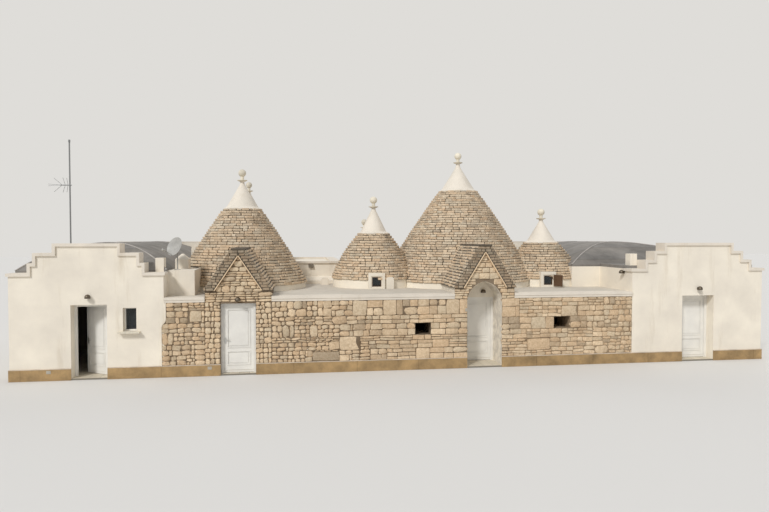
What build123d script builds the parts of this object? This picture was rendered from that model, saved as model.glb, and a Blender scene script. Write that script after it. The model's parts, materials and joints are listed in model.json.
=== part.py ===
from build123d import *
import os
from math import cos, radians, sin, sqrt

# A trullo house: three cone-roofed rooms behind a rubble stone front, between two plastered wings.
# X runs along the front, Y runs from the front to the back, Z is up from the ground.
# The origin is on the ground, in the middle of the front's length and of the house's depth.

# Along the front, from left to right: a wing, the cones' axes one after the other, and a wing
LEFT_WING_LENGTH = 4170.0
LEFT_CONE_FROM_WING = 1935.0
SMALL_FROM_LEFT_CONE = 4630.0
GREAT_FROM_SMALL_CONE = 3305.0
RIGHT_FROM_GREAT_CONE = 3030.0
WING_FROM_RIGHT_CONE = 1650.0
RIGHT_WING_LENGTH = 4650.0

# From the front to the back
HOUSE_DEPTH = 10800.0
LEFT_CONE_DEPTH = 3450.0
SMALL_CONE_DEPTH = 3600.0
GREAT_CONE_DEPTH = 4200.0
RIGHT_CONE_DEPTH = 3500.0
REAR_CONES_FROM_BACK = 2500.0
RAISED_ROOM_SETBACK = 5200.0
RIGHT_ROOM_SETBACK = 2100.0
LEFT_PARTY_SETBACK = 600.0

# Walls
STONE_FRONT_THICK = 1000.0
WING_FRONT_THICK = 450.0
OUTER_WALL_THICK = 400.0
INNER_WALL_THICK = 400.0
LEFT_PARTY_THICK = 770.0
RAISED_WALL_THICK = 350.0
RIGHT_ROOM_BULGE = 1070.0

# Heights and slabs
STONE_DOOR_HEAD = 2120.0
LINTEL_THICK = 120.0
COPING_THICK = 80.0
COPING_PROUD = 50.0
KERB_THICK = 350.0
TERRACE_THICK = 150.0
RAISED_ROOM_HEIGHT = 760.0
WING_WALL_TOP = 3040.0
BACK_PARAPET_TOP = 3900.0
UPPER_COPING_THICK = 60.0
FLOOR_THICK = 45.0
PLINTH_HEIGHT = 330.0
PLINTH_PROUD = 25.0
CUT_MARGIN = 10.0

# Stepped parapets: the lowest coping's top, the rise of each step, and the treads of each wing
PARAPET_FOOT = 3050.0
STEP_RISES = (280.0, 290.0, 270.0)
LEFT_TREADS = (510.0, 145.0, 520.0)
RIGHT_TREADS = (430.0, 310.0, 350.0)
PARAPET_COPING = 85.0

# Wing roofs
ROOF_THICK = 150.0
ROOF_RISE = 800.0
HIP_EXTRA = 25.0
EAVE_THICK = 60.0
FLAT_ROOF_THICK = 100.0

# Doors: where the opening is in its wall, its width and head, how far back the frame stands,
# and how many degrees the leaf stands open
LEFT_WING_DOOR = {"from_end": 1630.0, "width": 980.0, "head": 2140.0, "reveal": 300.0, "open": 33.0}
TRULLO_DOOR = {"off_middle": -10.0, "width": 1020.0, "head": STONE_DOOR_HEAD, "reveal": 110.0, "open": 0.0}
ARCH_DOOR = {"off_middle": 0.0, "width": 1120.0, "head": STONE_DOOR_HEAD, "reveal": 880.0, "open": 0.0}
RIGHT_WING_DOOR = {"from_end": 1770.0, "width": 1130.0, "head": 2160.0, "reveal": 345.0, "open": 0.0}
JAMB_WIDTH = 60.0
STOP_WIDTH = 18.0
STOP_DEPTH = 45.0
STOP_GAP = 6.0
LEAF_THICK = 45.0
LEAF_GAP = 8.0
LEAF_FOOT_GAP = 8.0
STILE_WIDTH = 115.0
TOP_RAIL = 120.0
MID_RAIL_LOW = 680.0
MID_RAIL_HIGH = 800.0
BOTTOM_RAIL = 230.0
PANEL_SINK = 10.0

# Door handles
HANDLE_HEIGHT = 1020.0
HANDLE_INSET = 60.0
HANDLE_PLATE_WIDTH = 42.0
HANDLE_PLATE_LENGTH = 190.0
HANDLE_PLATE_THICK = 8.0
HANDLE_DROP = 20.0
LEVER_STEM_R = 9.0
LEVER_STEM_LENGTH = 42.0
LEVER_LENGTH = 130.0
LEVER_WIDTH = 20.0
LEVER_THICK = 13.0

# Door hinges
HINGE_PIN_R = 6.0
HINGE_PIN_PLAY = 0.1
HINGE_PIN_REACH = 45.0
HINGE_BARREL_R = 11.0
HINGE_BARREL_LENGTH = 50.0
HINGE_SEAT_GAP = 0.3
HINGE_LEAF_REACH = 35.0
HINGE_PLATE_THICK = 4.0
HINGE_BACK_STEP = 12.0
HINGE_SHARES = (0.12, 0.5, 0.86)

# Wing window, placed from the wing's door
WINDOW = {"from_door": 430.0, "width": 370.0, "low": 1360.0, "high": 2040.0}
WINDOW_REVEAL = 180.0
WINDOW_FRAME_WIDTH = 40.0
WINDOW_FRAME_DEPTH = 50.0
GLASS_THICK = 8.0
SILL_LENGTH = 590.0
SILL_THICK = 40.0
SILL_PROUD = 160.0

# Small deep windows in the stone front, each placed from the nearer side of the arched porch
LEFT_WALL_HOLE = {"from_porch": 750.0, "width": 490.0, "low": 1070.0, "high": 1440.0}
RIGHT_WALL_HOLE = {"from_porch": 1310.0, "width": 550.0, "low": 1180.0, "high": 1560.0}

# Gabled porches: how far the middle is from the cone's axis, the body's width, the eave and the top
LEFT_PORCH = {"from_cone": 175.0, "width": 1920.0, "eave": 2500.0, "top": 3740.0}
ARCH_PORCH = {"from_cone": -255.0, "width": 1930.0, "eave": 2500.0, "top": 3840.0}
PORCH_TOP_FLAT = 370.0
PORCH_ROOF_THICK = 150.0
PORCH_ROOF_PROUD = 60.0
PORCH_EAVE_PROUD = 50.0
PORCH_RIDGE_THICK = 130.0
RIDGE_SLAB_THICK = 50.0
RIDGE_SLAB_PROUD = 20.0
VERGE_WIDTH = 340.0
VERGE_BEAD_WIDTH = 35.0
VERGE_BEAD_PROUD = 20.0
ARCH_RISE = 580.0
ARCH_SHOULDER_IN = 0.14
ARCH_SHOULDER_UP = 0.62
TYMPANUM_STEP = 30.0

# Cones: outer radius at the foot, the drum's height under it, the stone courses' height and their outer
# radius under the white cap, how far the sides bulge, the cap's height with its saucer, and the ball's
# middle over the saucer
LEFT_CONE = {"r": 2190.0, "drum": 180.0, "height": 2570.0, "cap_r": 570.0, "bulge": 70.0,
             "tip": 997.0, "ball_gap": 243.0, "thick": 380.0}
SMALL_CONE = {"r": 1490.0, "drum": 300.0, "height": 1606.0, "cap_r": 490.0, "bulge": 100.0,
              "tip": 968.0, "ball_gap": 228.0, "thick": 320.0}
GREAT_CONE = {"r": 2820.0, "drum": 200.0, "height": 3302.0, "cap_r": 650.0, "bulge": 80.0,
              "tip": 1094.0, "ball_gap": 231.0, "thick": 380.0}
RIGHT_CONE = {"r": 1460.0, "drum": 280.0, "height": 1294.0, "cap_r": 540.0, "bulge": 80.0,
              "tip": 906.0, "ball_gap": 222.0, "thick": 320.0}
LEFT_REAR_CONE = {"r": 1690.0, "drum": 170.0, "height": 1850.0, "cap_r": 549.0, "bulge": 70.0,
                  "tip": 985.0, "ball_gap": 235.0, "thick": 380.0}
SMALL_REAR_CONE = {"r": 1085.0, "drum": 280.0, "height": 1100.0, "cap_r": 403.0, "bulge": 60.0,
                   "tip": 840.0, "ball_gap": 215.0, "thick": 300.0}
CONE_COURSE_HEIGHT = 88.0
DRUM_INSET = 20.0
CAP_CROWN_THICK = 250.0
CROWN_HOLE_R = 40.0
CAP_NECK_R = 70.0
CAP_BEND_R = 130.0
CAP_BEND_SHARE = 0.8
SAUCER_R = 175.0
SAUCER_FOOT_R = 105.0
SAUCER_RIM = 15.0
SAUCER_THICK = 50.0
FINIAL_NECK_R = 60.0
BALL_R = 132.0

# Square rooms under the cones, by half their width
LEFT_HOLE = 1000.0
SMALL_HOLE = 720.0
GREAT_HOLE = 1650.0
RIGHT_HOLE = 560.0
RIGHT_HOLE_SHIFT = -180.0
SMALL_REAR_HOLE = 500.0
LEFT_REAR_HOLE = 850.0

# Raised room behind the left cone, with a sloping ledge at its foot
RAISED_LENGTH = 5470.0
REAR_CONE_FROM_WING = 1775.0
SMALL_REAR_FROM_RAISED = 1275.0
LEDGE_DEPTH = 380.0
LEDGE_FRONT = 125.0
LEDGE_BACK = 270.0

# Roof windows on the small and the right cone
SMALL_WINDOW_SHIFT = -77.0
RIGHT_WINDOW_SHIFT = -314.0
ROOF_WINDOW = {"width": 560.0, "height": 540.0, "side": 87.0, "foot": 45.0, "head": 100.0}
ROOF_WINDOW_PROUD = 40.0
ROOF_WINDOW_TAIL = 0.5
ROOF_WINDOW_RIM = 32.0
ROOF_WINDOW_RIM_DEPTH = 22.0
ROOF_PANE_DEPTH = 70.0
SHUTTER_THICK = 22.0
SHUTTER_OPEN = 115.0
SHUTTER_KNUCKLE_R = 14.0
WHITE_BLOCK = {"width": 259.0, "depth": 220.0, "height": 395.0, "from_window": 52.0, "round": 60.0}

# Chimneys and vents: width, depth and height, and where each stands
LEFT_POST = {"width": 238.0, "depth": 300.0, "top": 3455.0, "from_stone": 83.0}
RIGHT_POST = {"width": 238.0, "depth": 300.0, "top": 3528.0, "from_stone": 187.0}
HIPPED_CHIMNEY = {"width": 400.0, "height": 300.0, "cap_rise": 168.0, "flat": 60.0,
                  "from_wing": 35.0, "from_front": 1500.0}
SLIM_CHIMNEY = {"width": 220.0, "height": 590.0, "from_wing": 25.0, "from_front": 4460.0}
TERRACE_VENT = {"width": 280.0, "depth": 200.0, "height": 190.0, "hood_rise": 70.0, "hood_flat": 170.0,
                "from_cone": 96.0, "from_ledge": 330.0}

# Satellite dish on the thick wall: where the pole stands, and which way the dish looks
DISH = {"from_wing": 185.0, "from_front": 1100.0, "height": 665.0}
DISH_R = 300.0
DISH_DEPTH = 62.0
DISH_TURN = 38.0
DISH_TILT = 22.0
DISH_SHEET = 6.0
DISH_STAND_OFF = 60.0
DISH_POLE_R = 20.0
DISH_FOOT = 160.0
DISH_FOOT_THICK = 10.0
DISH_HUB_R = 35.0
FEED_ARM_R = 11.0
FEED_REACH = 450.0
FEED_DROP = 250.0
FEED_R = 32.0
FEED_LENGTH = 130.0

# Aerial mast on the left wing's roof; each pair of rods has its place on the boom, its spread and its lean
MAST = {"from_end": 255.0, "from_front": 4000.0, "top": 7424.0, "r": 24.0}
MAST_FOOT = 200.0
MAST_FOOT_TOP = 3420.0
MAST_CAP_R = 34.0
MAST_CAP_HEIGHT = 90.0
AERIAL_HEIGHT = 5870.0
AERIAL_BOOM = 320.0
AERIAL_BOOM_BACK = 60.0
AERIAL_BOOM_R = 18.0
AERIAL_ROD_R = 6.0
AERIAL_RODS = ((60.0, 245.0, 40.0), (150.0, 255.0, 75.0), (250.0, 235.0, 260.0), (300.0, 30.0, 400.0))

# Lamps
LAMP_R = 80.0
LAMP_SHEET = 5.0
LAMP_SKIRT = 35.0
LAMP_OFF_WALL = 12.0
LAMP_PLATE_HALF = 45.0
LAMP_PLATE_THICK = 8.0
LAMP_ARM_HALF = 18.0
LAMP_BULB_R = 32.0
LAMP_SOCKET_R = 20.0
WING_LAMP_GAP = 190.0
TRULLO_LAMP_GAP = 80.0
NICHE_LAMP_GAP = 150.0
NICHE_LAMP_SHIFT = 190.0
SIDE_LAMP_HEIGHT = 2880.0
SIDE_LAMP_FROM_FRONT = 500.0
SIDE_LAMP_TURN = -90.0
FLOOD_WIDTH = 180.0
FLOOD_HEIGHT = 130.0
FLOOD_DEPTH = 50.0
FLOOD_ARM = 60.0
FLOOD_TILT = 20.0
FLOOD_FROM_END = 1134.0
FLOOD_DROP = 92.0

# Places worked out from the sizes above
STONE_LENGTH = (LEFT_CONE_FROM_WING + SMALL_FROM_LEFT_CONE + GREAT_FROM_SMALL_CONE
                + RIGHT_FROM_GREAT_CONE + WING_FROM_RIGHT_CONE)
HOUSE_LENGTH = LEFT_WING_LENGTH + STONE_LENGTH + RIGHT_WING_LENGTH
LEFT_X = -HOUSE_LENGTH / 2
RIGHT_X = HOUSE_LENGTH / 2
STONE_LEFT_X = LEFT_X + LEFT_WING_LENGTH
STONE_RIGHT_X = RIGHT_X - RIGHT_WING_LENGTH
LEFT_PARTY_X = STONE_LEFT_X + LEFT_PARTY_THICK
RIGHT_PARTY_X = STONE_RIGHT_X - RIGHT_ROOM_BULGE
RAISED_RIGHT_X = STONE_LEFT_X + RAISED_LENGTH
FRONT_Y = -HOUSE_DEPTH / 2
BACK_Y = HOUSE_DEPTH / 2
BACK_INNER_Y = BACK_Y - OUTER_WALL_THICK
STONE_BACK_Y = FRONT_Y + STONE_FRONT_THICK
WING_BACK_Y = FRONT_Y + WING_FRONT_THICK
KERB_BACK_Y = FRONT_Y + KERB_THICK
SETBACK_Y = FRONT_Y + RIGHT_ROOM_SETBACK
RAISED_FRONT_Y = FRONT_Y + RAISED_ROOM_SETBACK
KERB_TOP = STONE_DOOR_HEAD + LINTEL_THICK
TERRACE_TOP = KERB_TOP + COPING_THICK
SLAB_LOW = TERRACE_TOP - TERRACE_THICK
RAISED_DECK_TOP = TERRACE_TOP + RAISED_ROOM_HEIGHT
PARAPET_TOP = PARAPET_FOOT + sum(STEP_RISES)
UPPER_COPING_LOW = BACK_PARAPET_TOP - UPPER_COPING_THICK
ARCH_CROWN = STONE_DOOR_HEAD + ARCH_RISE
LEAF_FOOT = FLOOR_THICK + LEAF_FOOT_GAP


def place_cone(cone, x, y, base):
    """A cone's sizes with its axis and the heights that follow from what it stands on."""
    foot = base + cone["drum"]
    cap = foot + cone["height"]
    saucer = cap + cone["tip"]
    return dict(cone, x=x, y=y, base=base, foot=foot, cap=cap, saucer=saucer, ball=saucer + cone["ball_gap"])


LEFT_CONE = place_cone(
    LEFT_CONE, STONE_LEFT_X + LEFT_CONE_FROM_WING, FRONT_Y + LEFT_CONE_DEPTH, TERRACE_TOP)
SMALL_CONE = place_cone(
    SMALL_CONE, LEFT_CONE["x"] + SMALL_FROM_LEFT_CONE, FRONT_Y + SMALL_CONE_DEPTH, TERRACE_TOP)
GREAT_CONE = place_cone(
    GREAT_CONE, SMALL_CONE["x"] + GREAT_FROM_SMALL_CONE, FRONT_Y + GREAT_CONE_DEPTH, TERRACE_TOP)
RIGHT_CONE = place_cone(
    RIGHT_CONE, GREAT_CONE["x"] + RIGHT_FROM_GREAT_CONE, FRONT_Y + RIGHT_CONE_DEPTH, TERRACE_TOP)
LEFT_REAR_CONE = place_cone(
    LEFT_REAR_CONE, STONE_LEFT_X + REAR_CONE_FROM_WING, BACK_Y - REAR_CONES_FROM_BACK, RAISED_DECK_TOP)
SMALL_REAR_CONE = place_cone(
    SMALL_REAR_CONE, RAISED_RIGHT_X + SMALL_REAR_FROM_RAISED, BACK_Y - REAR_CONES_FROM_BACK, TERRACE_TOP)
LEFT_PORCH["x"] = LEFT_CONE["x"] + LEFT_PORCH["from_cone"]
ARCH_PORCH["x"] = GREAT_CONE["x"] + ARCH_PORCH["from_cone"]
LEFT_WING_DOOR["x"] = LEFT_X + LEFT_WING_DOOR["from_end"]
TRULLO_DOOR["x"] = LEFT_PORCH["x"] + TRULLO_DOOR["off_middle"] - TRULLO_DOOR["width"] / 2
ARCH_DOOR["x"] = ARCH_PORCH["x"] + ARCH_DOOR["off_middle"] - ARCH_DOOR["width"] / 2
RIGHT_WING_DOOR["x"] = STONE_RIGHT_X + RIGHT_WING_DOOR["from_end"]
WINDOW["x"] = LEFT_WING_DOOR["x"] + LEFT_WING_DOOR["width"] + WINDOW["from_door"]
ARCH_LEFT_X = ARCH_PORCH["x"] - ARCH_PORCH["width"] / 2
ARCH_RIGHT_X = ARCH_PORCH["x"] + ARCH_PORCH["width"] / 2
LEFT_WALL_HOLE["x"] = ARCH_LEFT_X - LEFT_WALL_HOLE["from_porch"] - LEFT_WALL_HOLE["width"]
RIGHT_WALL_HOLE["x"] = ARCH_RIGHT_X + RIGHT_WALL_HOLE["from_porch"]
TYMPANUM_Y = FRONT_Y + ARCH_DOOR["reveal"] - TYMPANUM_STEP


# Simple solids

def block(x0, x1, y0, y1, z0, z1):
    """A box between two corners."""
    return Pos(x0, y0, z0) * Box(x1 - x0, y1 - y0, z1 - z0, align=(Align.MIN, Align.MIN, Align.MIN))


def along_y(points, y0, y1):
    """An outline of (x, z) points, pushed along Y."""
    outline = Polyline([(x, y0, z) for x, z in points], close=True)
    return extrude(make_face(outline), amount=y1 - y0, dir=(0, 1, 0))


def along_x(points, x0, x1):
    """An outline of (y, z) points, pushed along X."""
    outline = Polyline([(x0, y, z) for y, z in points], close=True)
    return extrude(make_face(outline), amount=x1 - x0, dir=(1, 0, 0))


def along_z(points, z0, z1):
    """An outline of (x, y) points, pushed upwards."""
    outline = Polyline([(x, y, z0) for x, y in points], close=True)
    return extrude(make_face(outline), amount=z1 - z0, dir=(0, 0, 1))


def round_post(x, y, z0, z1, radius):
    return Pos(x, y, z0) * Cylinder(radius, z1 - z0, align=(Align.CENTER, Align.CENTER, Align.MIN))


def rod(start, end, radius):
    """A round bar between two points."""
    way = Vector(*end) - Vector(*start)
    plane = Plane(origin=start, z_dir=tuple(way))
    return extrude(plane * Circle(radius), amount=way.length)


def turned(points, x, y):
    """An outline of (radius, z) points, turned about an upright axis."""
    outline = Polyline([(r, 0, z) for r, z in points], close=True)
    return Pos(x, y, 0) * revolve(make_face(outline), Axis.Z)


# Cones

def cone_radius(cone, z):
    """Outer radius at a height: a straight taper with a bulge that is most half way up."""
    share = (z - cone["foot"]) / cone["height"]
    return cone["r"] + (cone["cap_r"] - cone["r"]) * share + 4 * cone["bulge"] * share * (1 - share)


def stepped_side(cone):
    """A cone's outer face from its foot to its cap: upright courses, each set back on the one below."""
    courses = round(cone["height"] / CONE_COURSE_HEIGHT)
    height = cone["height"] / courses
    points = []
    for course in range(courses):
        low = cone["foot"] + course * height
        radius = cone_radius(cone, low)
        points += [(radius, low), (radius, low + height)]
    return points


def cone_envelope(cone, low):
    """Everything inside a cone's outer face, down to a given height."""
    tip = [(cone["cap_r"], cone["cap"]), (0, cone["saucer"])]
    points = [(0, low), (cone["r"], low)] + stepped_side(cone)[1:] + tip
    return turned(points, cone["x"], cone["y"])


def cone_shell(cone):
    """The corbelled roof of one room: a thick hollow cone closed by a slab under its cap."""
    crown_low = cone["cap"] - CAP_CROWN_THICK
    foot_in = cone["r"] - cone["thick"]
    crown_in = max(cone_radius(cone, crown_low) - cone["thick"], CROWN_HOLE_R)
    crown = [(0, cone["cap"]), (0, crown_low), (crown_in, crown_low)]
    return turned([(foot_in, cone["foot"])] + stepped_side(cone) + crown, cone["x"], cone["y"])


def drum(cone):
    """The plastered ring that a cone stands on."""
    outer = cone["r"] - DRUM_INSET
    inner = cone["r"] - cone["thick"]
    points = [(inner, cone["base"]), (outer, cone["base"]), (outer, cone["foot"]), (inner, cone["foot"])]
    return turned(points, cone["x"], cone["y"])


def white_cap(cone):
    """The plastered tip: straight sides that draw in to a neck under the saucer."""
    foot, top = cone["cap"], cone["saucer"] - SAUCER_THICK
    bend = foot + (top - foot) * CAP_BEND_SHARE
    slope = (cone["cap_r"] - CAP_BEND_R) / (bend - foot)
    neck = Spline(
        [(CAP_BEND_R, 0, bend), (CAP_NECK_R, 0, top)],
        tangents=[(-slope, 0, 1), (0, 0, 1)],
    )
    edge = Polyline([
        (CAP_NECK_R, 0, top), (0, 0, top), (0, 0, foot), (cone["cap_r"], 0, foot), (CAP_BEND_R, 0, bend),
    ])
    return Pos(cone["x"], cone["y"], 0) * revolve(make_face([neck, edge]), Axis.Z)


def finial(cone):
    """A saucer, a short neck and a ball, all in one stone."""
    low = cone["saucer"] - SAUCER_THICK
    saucer = turned(
        [(0, low), (SAUCER_FOOT_R, low), (SAUCER_R, cone["saucer"] - SAUCER_RIM),
         (SAUCER_R, cone["saucer"]), (0, cone["saucer"])],
        cone["x"], cone["y"],
    )
    neck = round_post(cone["x"], cone["y"], cone["saucer"], cone["ball"], FINIAL_NECK_R)
    ball = Pos(cone["x"], cone["y"], cone["ball"]) * Sphere(BALL_R)
    return saucer + neck + ball


def hole_under(cone, half, shift=0.0):
    """The square room under a cone, as a cut through the slab that the cone stands on."""
    x = cone["x"] + shift
    low = cone["base"] - TERRACE_THICK - CUT_MARGIN
    return block(x - half, x + half, cone["y"] - half, cone["y"] + half, low, cone["base"] + CUT_MARGIN)


# Walls

def right_of(opening):
    return opening["x"] + opening["width"]


def front_wall_piece(x0, x1):
    """Part of the stone front: it carries the terrace behind a kerb."""
    section = [
        (FRONT_Y, 0), (STONE_BACK_Y, 0), (STONE_BACK_Y, SLAB_LOW),
        (KERB_BACK_Y, SLAB_LOW), (KERB_BACK_Y, KERB_TOP), (FRONT_Y, KERB_TOP),
    ]
    return along_x(section, x0, x1)


def opening_through(hole, back_y):
    """A cut through a front wall for a window or a hole."""
    y0, y1 = FRONT_Y - CUT_MARGIN, back_y + CUT_MARGIN
    return block(hole["x"], right_of(hole), y0, y1, hole["low"], hole["high"])


def stepped_outline(x0, x1, treads, low, drop):
    """The outline of a stepped parapet; drop lowers and narrows it to leave room for its coping."""
    left, right = [], []
    inset, top, foot = 0.0, PARAPET_FOOT, low
    for tread, rise in zip(treads + (0.0,), STEP_RISES + (0.0,)):
        side = drop if inset > 0 else 0.0
        for points, x in ((left, x0 + inset + side), (right, x1 - inset - side)):
            points += [(x, foot), (x, top - drop)]
        foot = top - drop
        inset += tread
        top += rise
    return left + right[::-1]


def wing_parapet(x0, x1, treads, door):
    """The stepped top of a wing's front, from the door's head up."""
    return along_y(stepped_outline(x0, x1, treads, door["head"], PARAPET_COPING), FRONT_Y, WING_BACK_Y)


def parapet_coping(x0, x1, treads):
    """The raised band that follows the steps and stands out at the front and at both ends."""
    wide = (treads[0] + COPING_PROUD,) + treads[1:]
    outer = stepped_outline(x0 - COPING_PROUD, x1 + COPING_PROUD, wide, PARAPET_FOOT - PARAPET_COPING, 0.0)
    band = along_y(outer, FRONT_Y - COPING_PROUD, WING_BACK_Y)
    wall = stepped_outline(x0, x1, treads, 0.0, PARAPET_COPING)
    return band - along_y(wall, FRONT_Y - 2 * COPING_PROUD, WING_BACK_Y + CUT_MARGIN)


def upper_copings():
    """The copings of the raised room on three sides, and of the back wall behind each wing."""
    p = COPING_PROUD
    top = RAISED_DECK_TOP + COPING_THICK
    ring = block(LEFT_PARTY_X, RAISED_RIGHT_X + p, RAISED_FRONT_Y - p, BACK_Y + p, RAISED_DECK_TOP, top)
    ring = ring - block(LEFT_PARTY_X - CUT_MARGIN, RAISED_RIGHT_X - RAISED_WALL_THICK,
                        RAISED_FRONT_Y + RAISED_WALL_THICK, BACK_INNER_Y, RAISED_DECK_TOP - CUT_MARGIN,
                        top + CUT_MARGIN)
    ring = ring - cone_envelope(LEFT_CONE, SLAB_LOW)
    left = block(LEFT_X - p, STONE_LEFT_X + p, BACK_INNER_Y, BACK_Y + p, UPPER_COPING_LOW, BACK_PARAPET_TOP)
    right = block(RIGHT_PARTY_X - p, RIGHT_X + p, BACK_INNER_Y, BACK_Y + p,
                  UPPER_COPING_LOW, BACK_PARAPET_TOP)
    return [ring, left, right]


def terrace_copings():
    """The terrace's edge stones: three lengths at the front, and one on the back wall."""
    stones = []
    porch_half_width = LEFT_PORCH["width"] / 2
    ends = (
        (STONE_LEFT_X, LEFT_PORCH["x"] - porch_half_width),
        (LEFT_PORCH["x"] + porch_half_width, ARCH_LEFT_X), (ARCH_RIGHT_X, STONE_RIGHT_X),
    )
    for x0, x1 in ends:
        stones.append(block(x0, x1, FRONT_Y - COPING_PROUD, KERB_BACK_Y, KERB_TOP, TERRACE_TOP))
    stones.append(block(RAISED_RIGHT_X, RIGHT_PARTY_X, BACK_INNER_Y, BACK_Y + COPING_PROUD,
                        KERB_TOP, TERRACE_TOP))
    return stones


def back_wall():
    """One long wall whose top steps down behind the terrace."""
    outline = [
        (LEFT_X, 0), (RIGHT_X, 0), (RIGHT_X, UPPER_COPING_LOW), (RIGHT_PARTY_X, UPPER_COPING_LOW),
        (RIGHT_PARTY_X, KERB_TOP), (RAISED_RIGHT_X, KERB_TOP), (RAISED_RIGHT_X, RAISED_DECK_TOP),
        (STONE_LEFT_X, RAISED_DECK_TOP), (STONE_LEFT_X, UPPER_COPING_LOW), (LEFT_X, UPPER_COPING_LOW),
    ]
    return along_y(outline, BACK_INNER_Y, BACK_Y)


def left_party_wall():
    """The thick wall between the left wing and the stone house."""
    y = FRONT_Y + LEFT_PARTY_SETBACK
    section = [
        (STONE_BACK_Y, 0), (BACK_INNER_Y, 0), (BACK_INNER_Y, RAISED_DECK_TOP),
        (y, RAISED_DECK_TOP), (y, SLAB_LOW), (STONE_BACK_Y, SLAB_LOW),
    ]
    return along_x(section, STONE_LEFT_X, LEFT_PARTY_X)


def right_inner_wall():
    """The wall between the right rooms and the stone house: it steps round the terrace."""
    w = INNER_WALL_THICK
    outline = [
        (STONE_RIGHT_X, WING_BACK_Y), (STONE_RIGHT_X + w, WING_BACK_Y), (STONE_RIGHT_X + w, SETBACK_Y + w),
        (RIGHT_PARTY_X + w, SETBACK_Y + w), (RIGHT_PARTY_X + w, BACK_INNER_Y), (RIGHT_PARTY_X, BACK_INNER_Y),
        (RIGHT_PARTY_X, SETBACK_Y), (STONE_RIGHT_X, SETBACK_Y),
    ]
    return along_z(outline, 0, WING_WALL_TOP)


def raised_room():
    """Walls and deck of the room behind the left cone, open below to the rooms under the terrace."""
    t = RAISED_WALL_THICK
    walls = block(LEFT_PARTY_X, RAISED_RIGHT_X, RAISED_FRONT_Y, BACK_INNER_Y, TERRACE_TOP, RAISED_DECK_TOP)
    walls = walls - block(LEFT_PARTY_X - CUT_MARGIN, RAISED_RIGHT_X - t, RAISED_FRONT_Y + t,
                          BACK_INNER_Y + CUT_MARGIN,
                           TERRACE_TOP - CUT_MARGIN, RAISED_DECK_TOP - TERRACE_THICK)
    y = RAISED_FRONT_Y
    ledge = [
        (y, TERRACE_TOP), (y, TERRACE_TOP + LEDGE_BACK),
        (y - LEDGE_DEPTH, TERRACE_TOP + LEDGE_FRONT), (y - LEDGE_DEPTH, TERRACE_TOP),
    ]
    walls = walls + along_x(ledge, LEFT_PARTY_X, RAISED_RIGHT_X)
    return walls - hole_under(LEFT_REAR_CONE, LEFT_REAR_HOLE) - cone_envelope(LEFT_CONE, SLAB_LOW)


def terrace_slabs():
    """The terrace in three lengths, each with the square holes of its rooms."""
    y0 = KERB_BACK_Y
    split_left = RAISED_RIGHT_X - RAISED_WALL_THICK
    holes_end = max(SMALL_CONE["x"] + SMALL_HOLE, SMALL_REAR_CONE["x"] + SMALL_REAR_HOLE)
    split_right = (holes_end + GREAT_CONE["x"] - GREAT_HOLE) / 2
    left = block(LEFT_PARTY_X, split_left, y0, RAISED_FRONT_Y + RAISED_WALL_THICK, SLAB_LOW, TERRACE_TOP)
    left = left + block(STONE_LEFT_X, LEFT_PARTY_X, y0, FRONT_Y + LEFT_PARTY_SETBACK, SLAB_LOW, TERRACE_TOP)
    left = left - hole_under(LEFT_CONE, LEFT_HOLE)
    middle = block(split_left, split_right, y0, BACK_INNER_Y, SLAB_LOW, TERRACE_TOP)
    middle = middle - hole_under(SMALL_CONE, SMALL_HOLE) - hole_under(SMALL_REAR_CONE, SMALL_REAR_HOLE)
    right = block(split_right, RIGHT_PARTY_X, y0, BACK_INNER_Y, SLAB_LOW, TERRACE_TOP)
    right = right + block(RIGHT_PARTY_X, STONE_RIGHT_X, y0, SETBACK_Y, SLAB_LOW, TERRACE_TOP)
    niche = block(ARCH_LEFT_X, ARCH_RIGHT_X, y0, STONE_BACK_Y,
                  SLAB_LOW - CUT_MARGIN, TERRACE_TOP + CUT_MARGIN)
    right = right - hole_under(GREAT_CONE, GREAT_HOLE) - niche
    right = right - hole_under(RIGHT_CONE, RIGHT_HOLE, RIGHT_HOLE_SHIFT)
    return left, middle, right


def floors():
    """One floor slab for each part of the house, with its doorways."""
    f, w = FLOOR_THICK, INNER_WALL_THICK
    left = block(LEFT_X + OUTER_WALL_THICK, STONE_LEFT_X - w, WING_BACK_Y, BACK_INNER_Y, 0, f)
    left = left + block(LEFT_WING_DOOR["x"], right_of(LEFT_WING_DOOR), FRONT_Y, WING_BACK_Y, 0, f)
    hall = block(LEFT_PARTY_X, RIGHT_PARTY_X, STONE_BACK_Y, BACK_INNER_Y, 0, f)
    hall = hall + block(RIGHT_PARTY_X, STONE_RIGHT_X, STONE_BACK_Y, SETBACK_Y, 0, f)
    for door in (TRULLO_DOOR, ARCH_DOOR):
        hall = hall + block(door["x"], right_of(door), FRONT_Y, STONE_BACK_Y, 0, f)
    x1 = RIGHT_X - OUTER_WALL_THICK
    right = block(RIGHT_PARTY_X + w, x1, SETBACK_Y + w, BACK_INNER_Y, 0, f)
    right = right + block(STONE_RIGHT_X + w, x1, WING_BACK_Y, SETBACK_Y + w, 0, f)
    right = right + block(RIGHT_WING_DOOR["x"], right_of(RIGHT_WING_DOOR), FRONT_Y, WING_BACK_Y, 0, f)
    return [left, hall, right]


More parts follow.
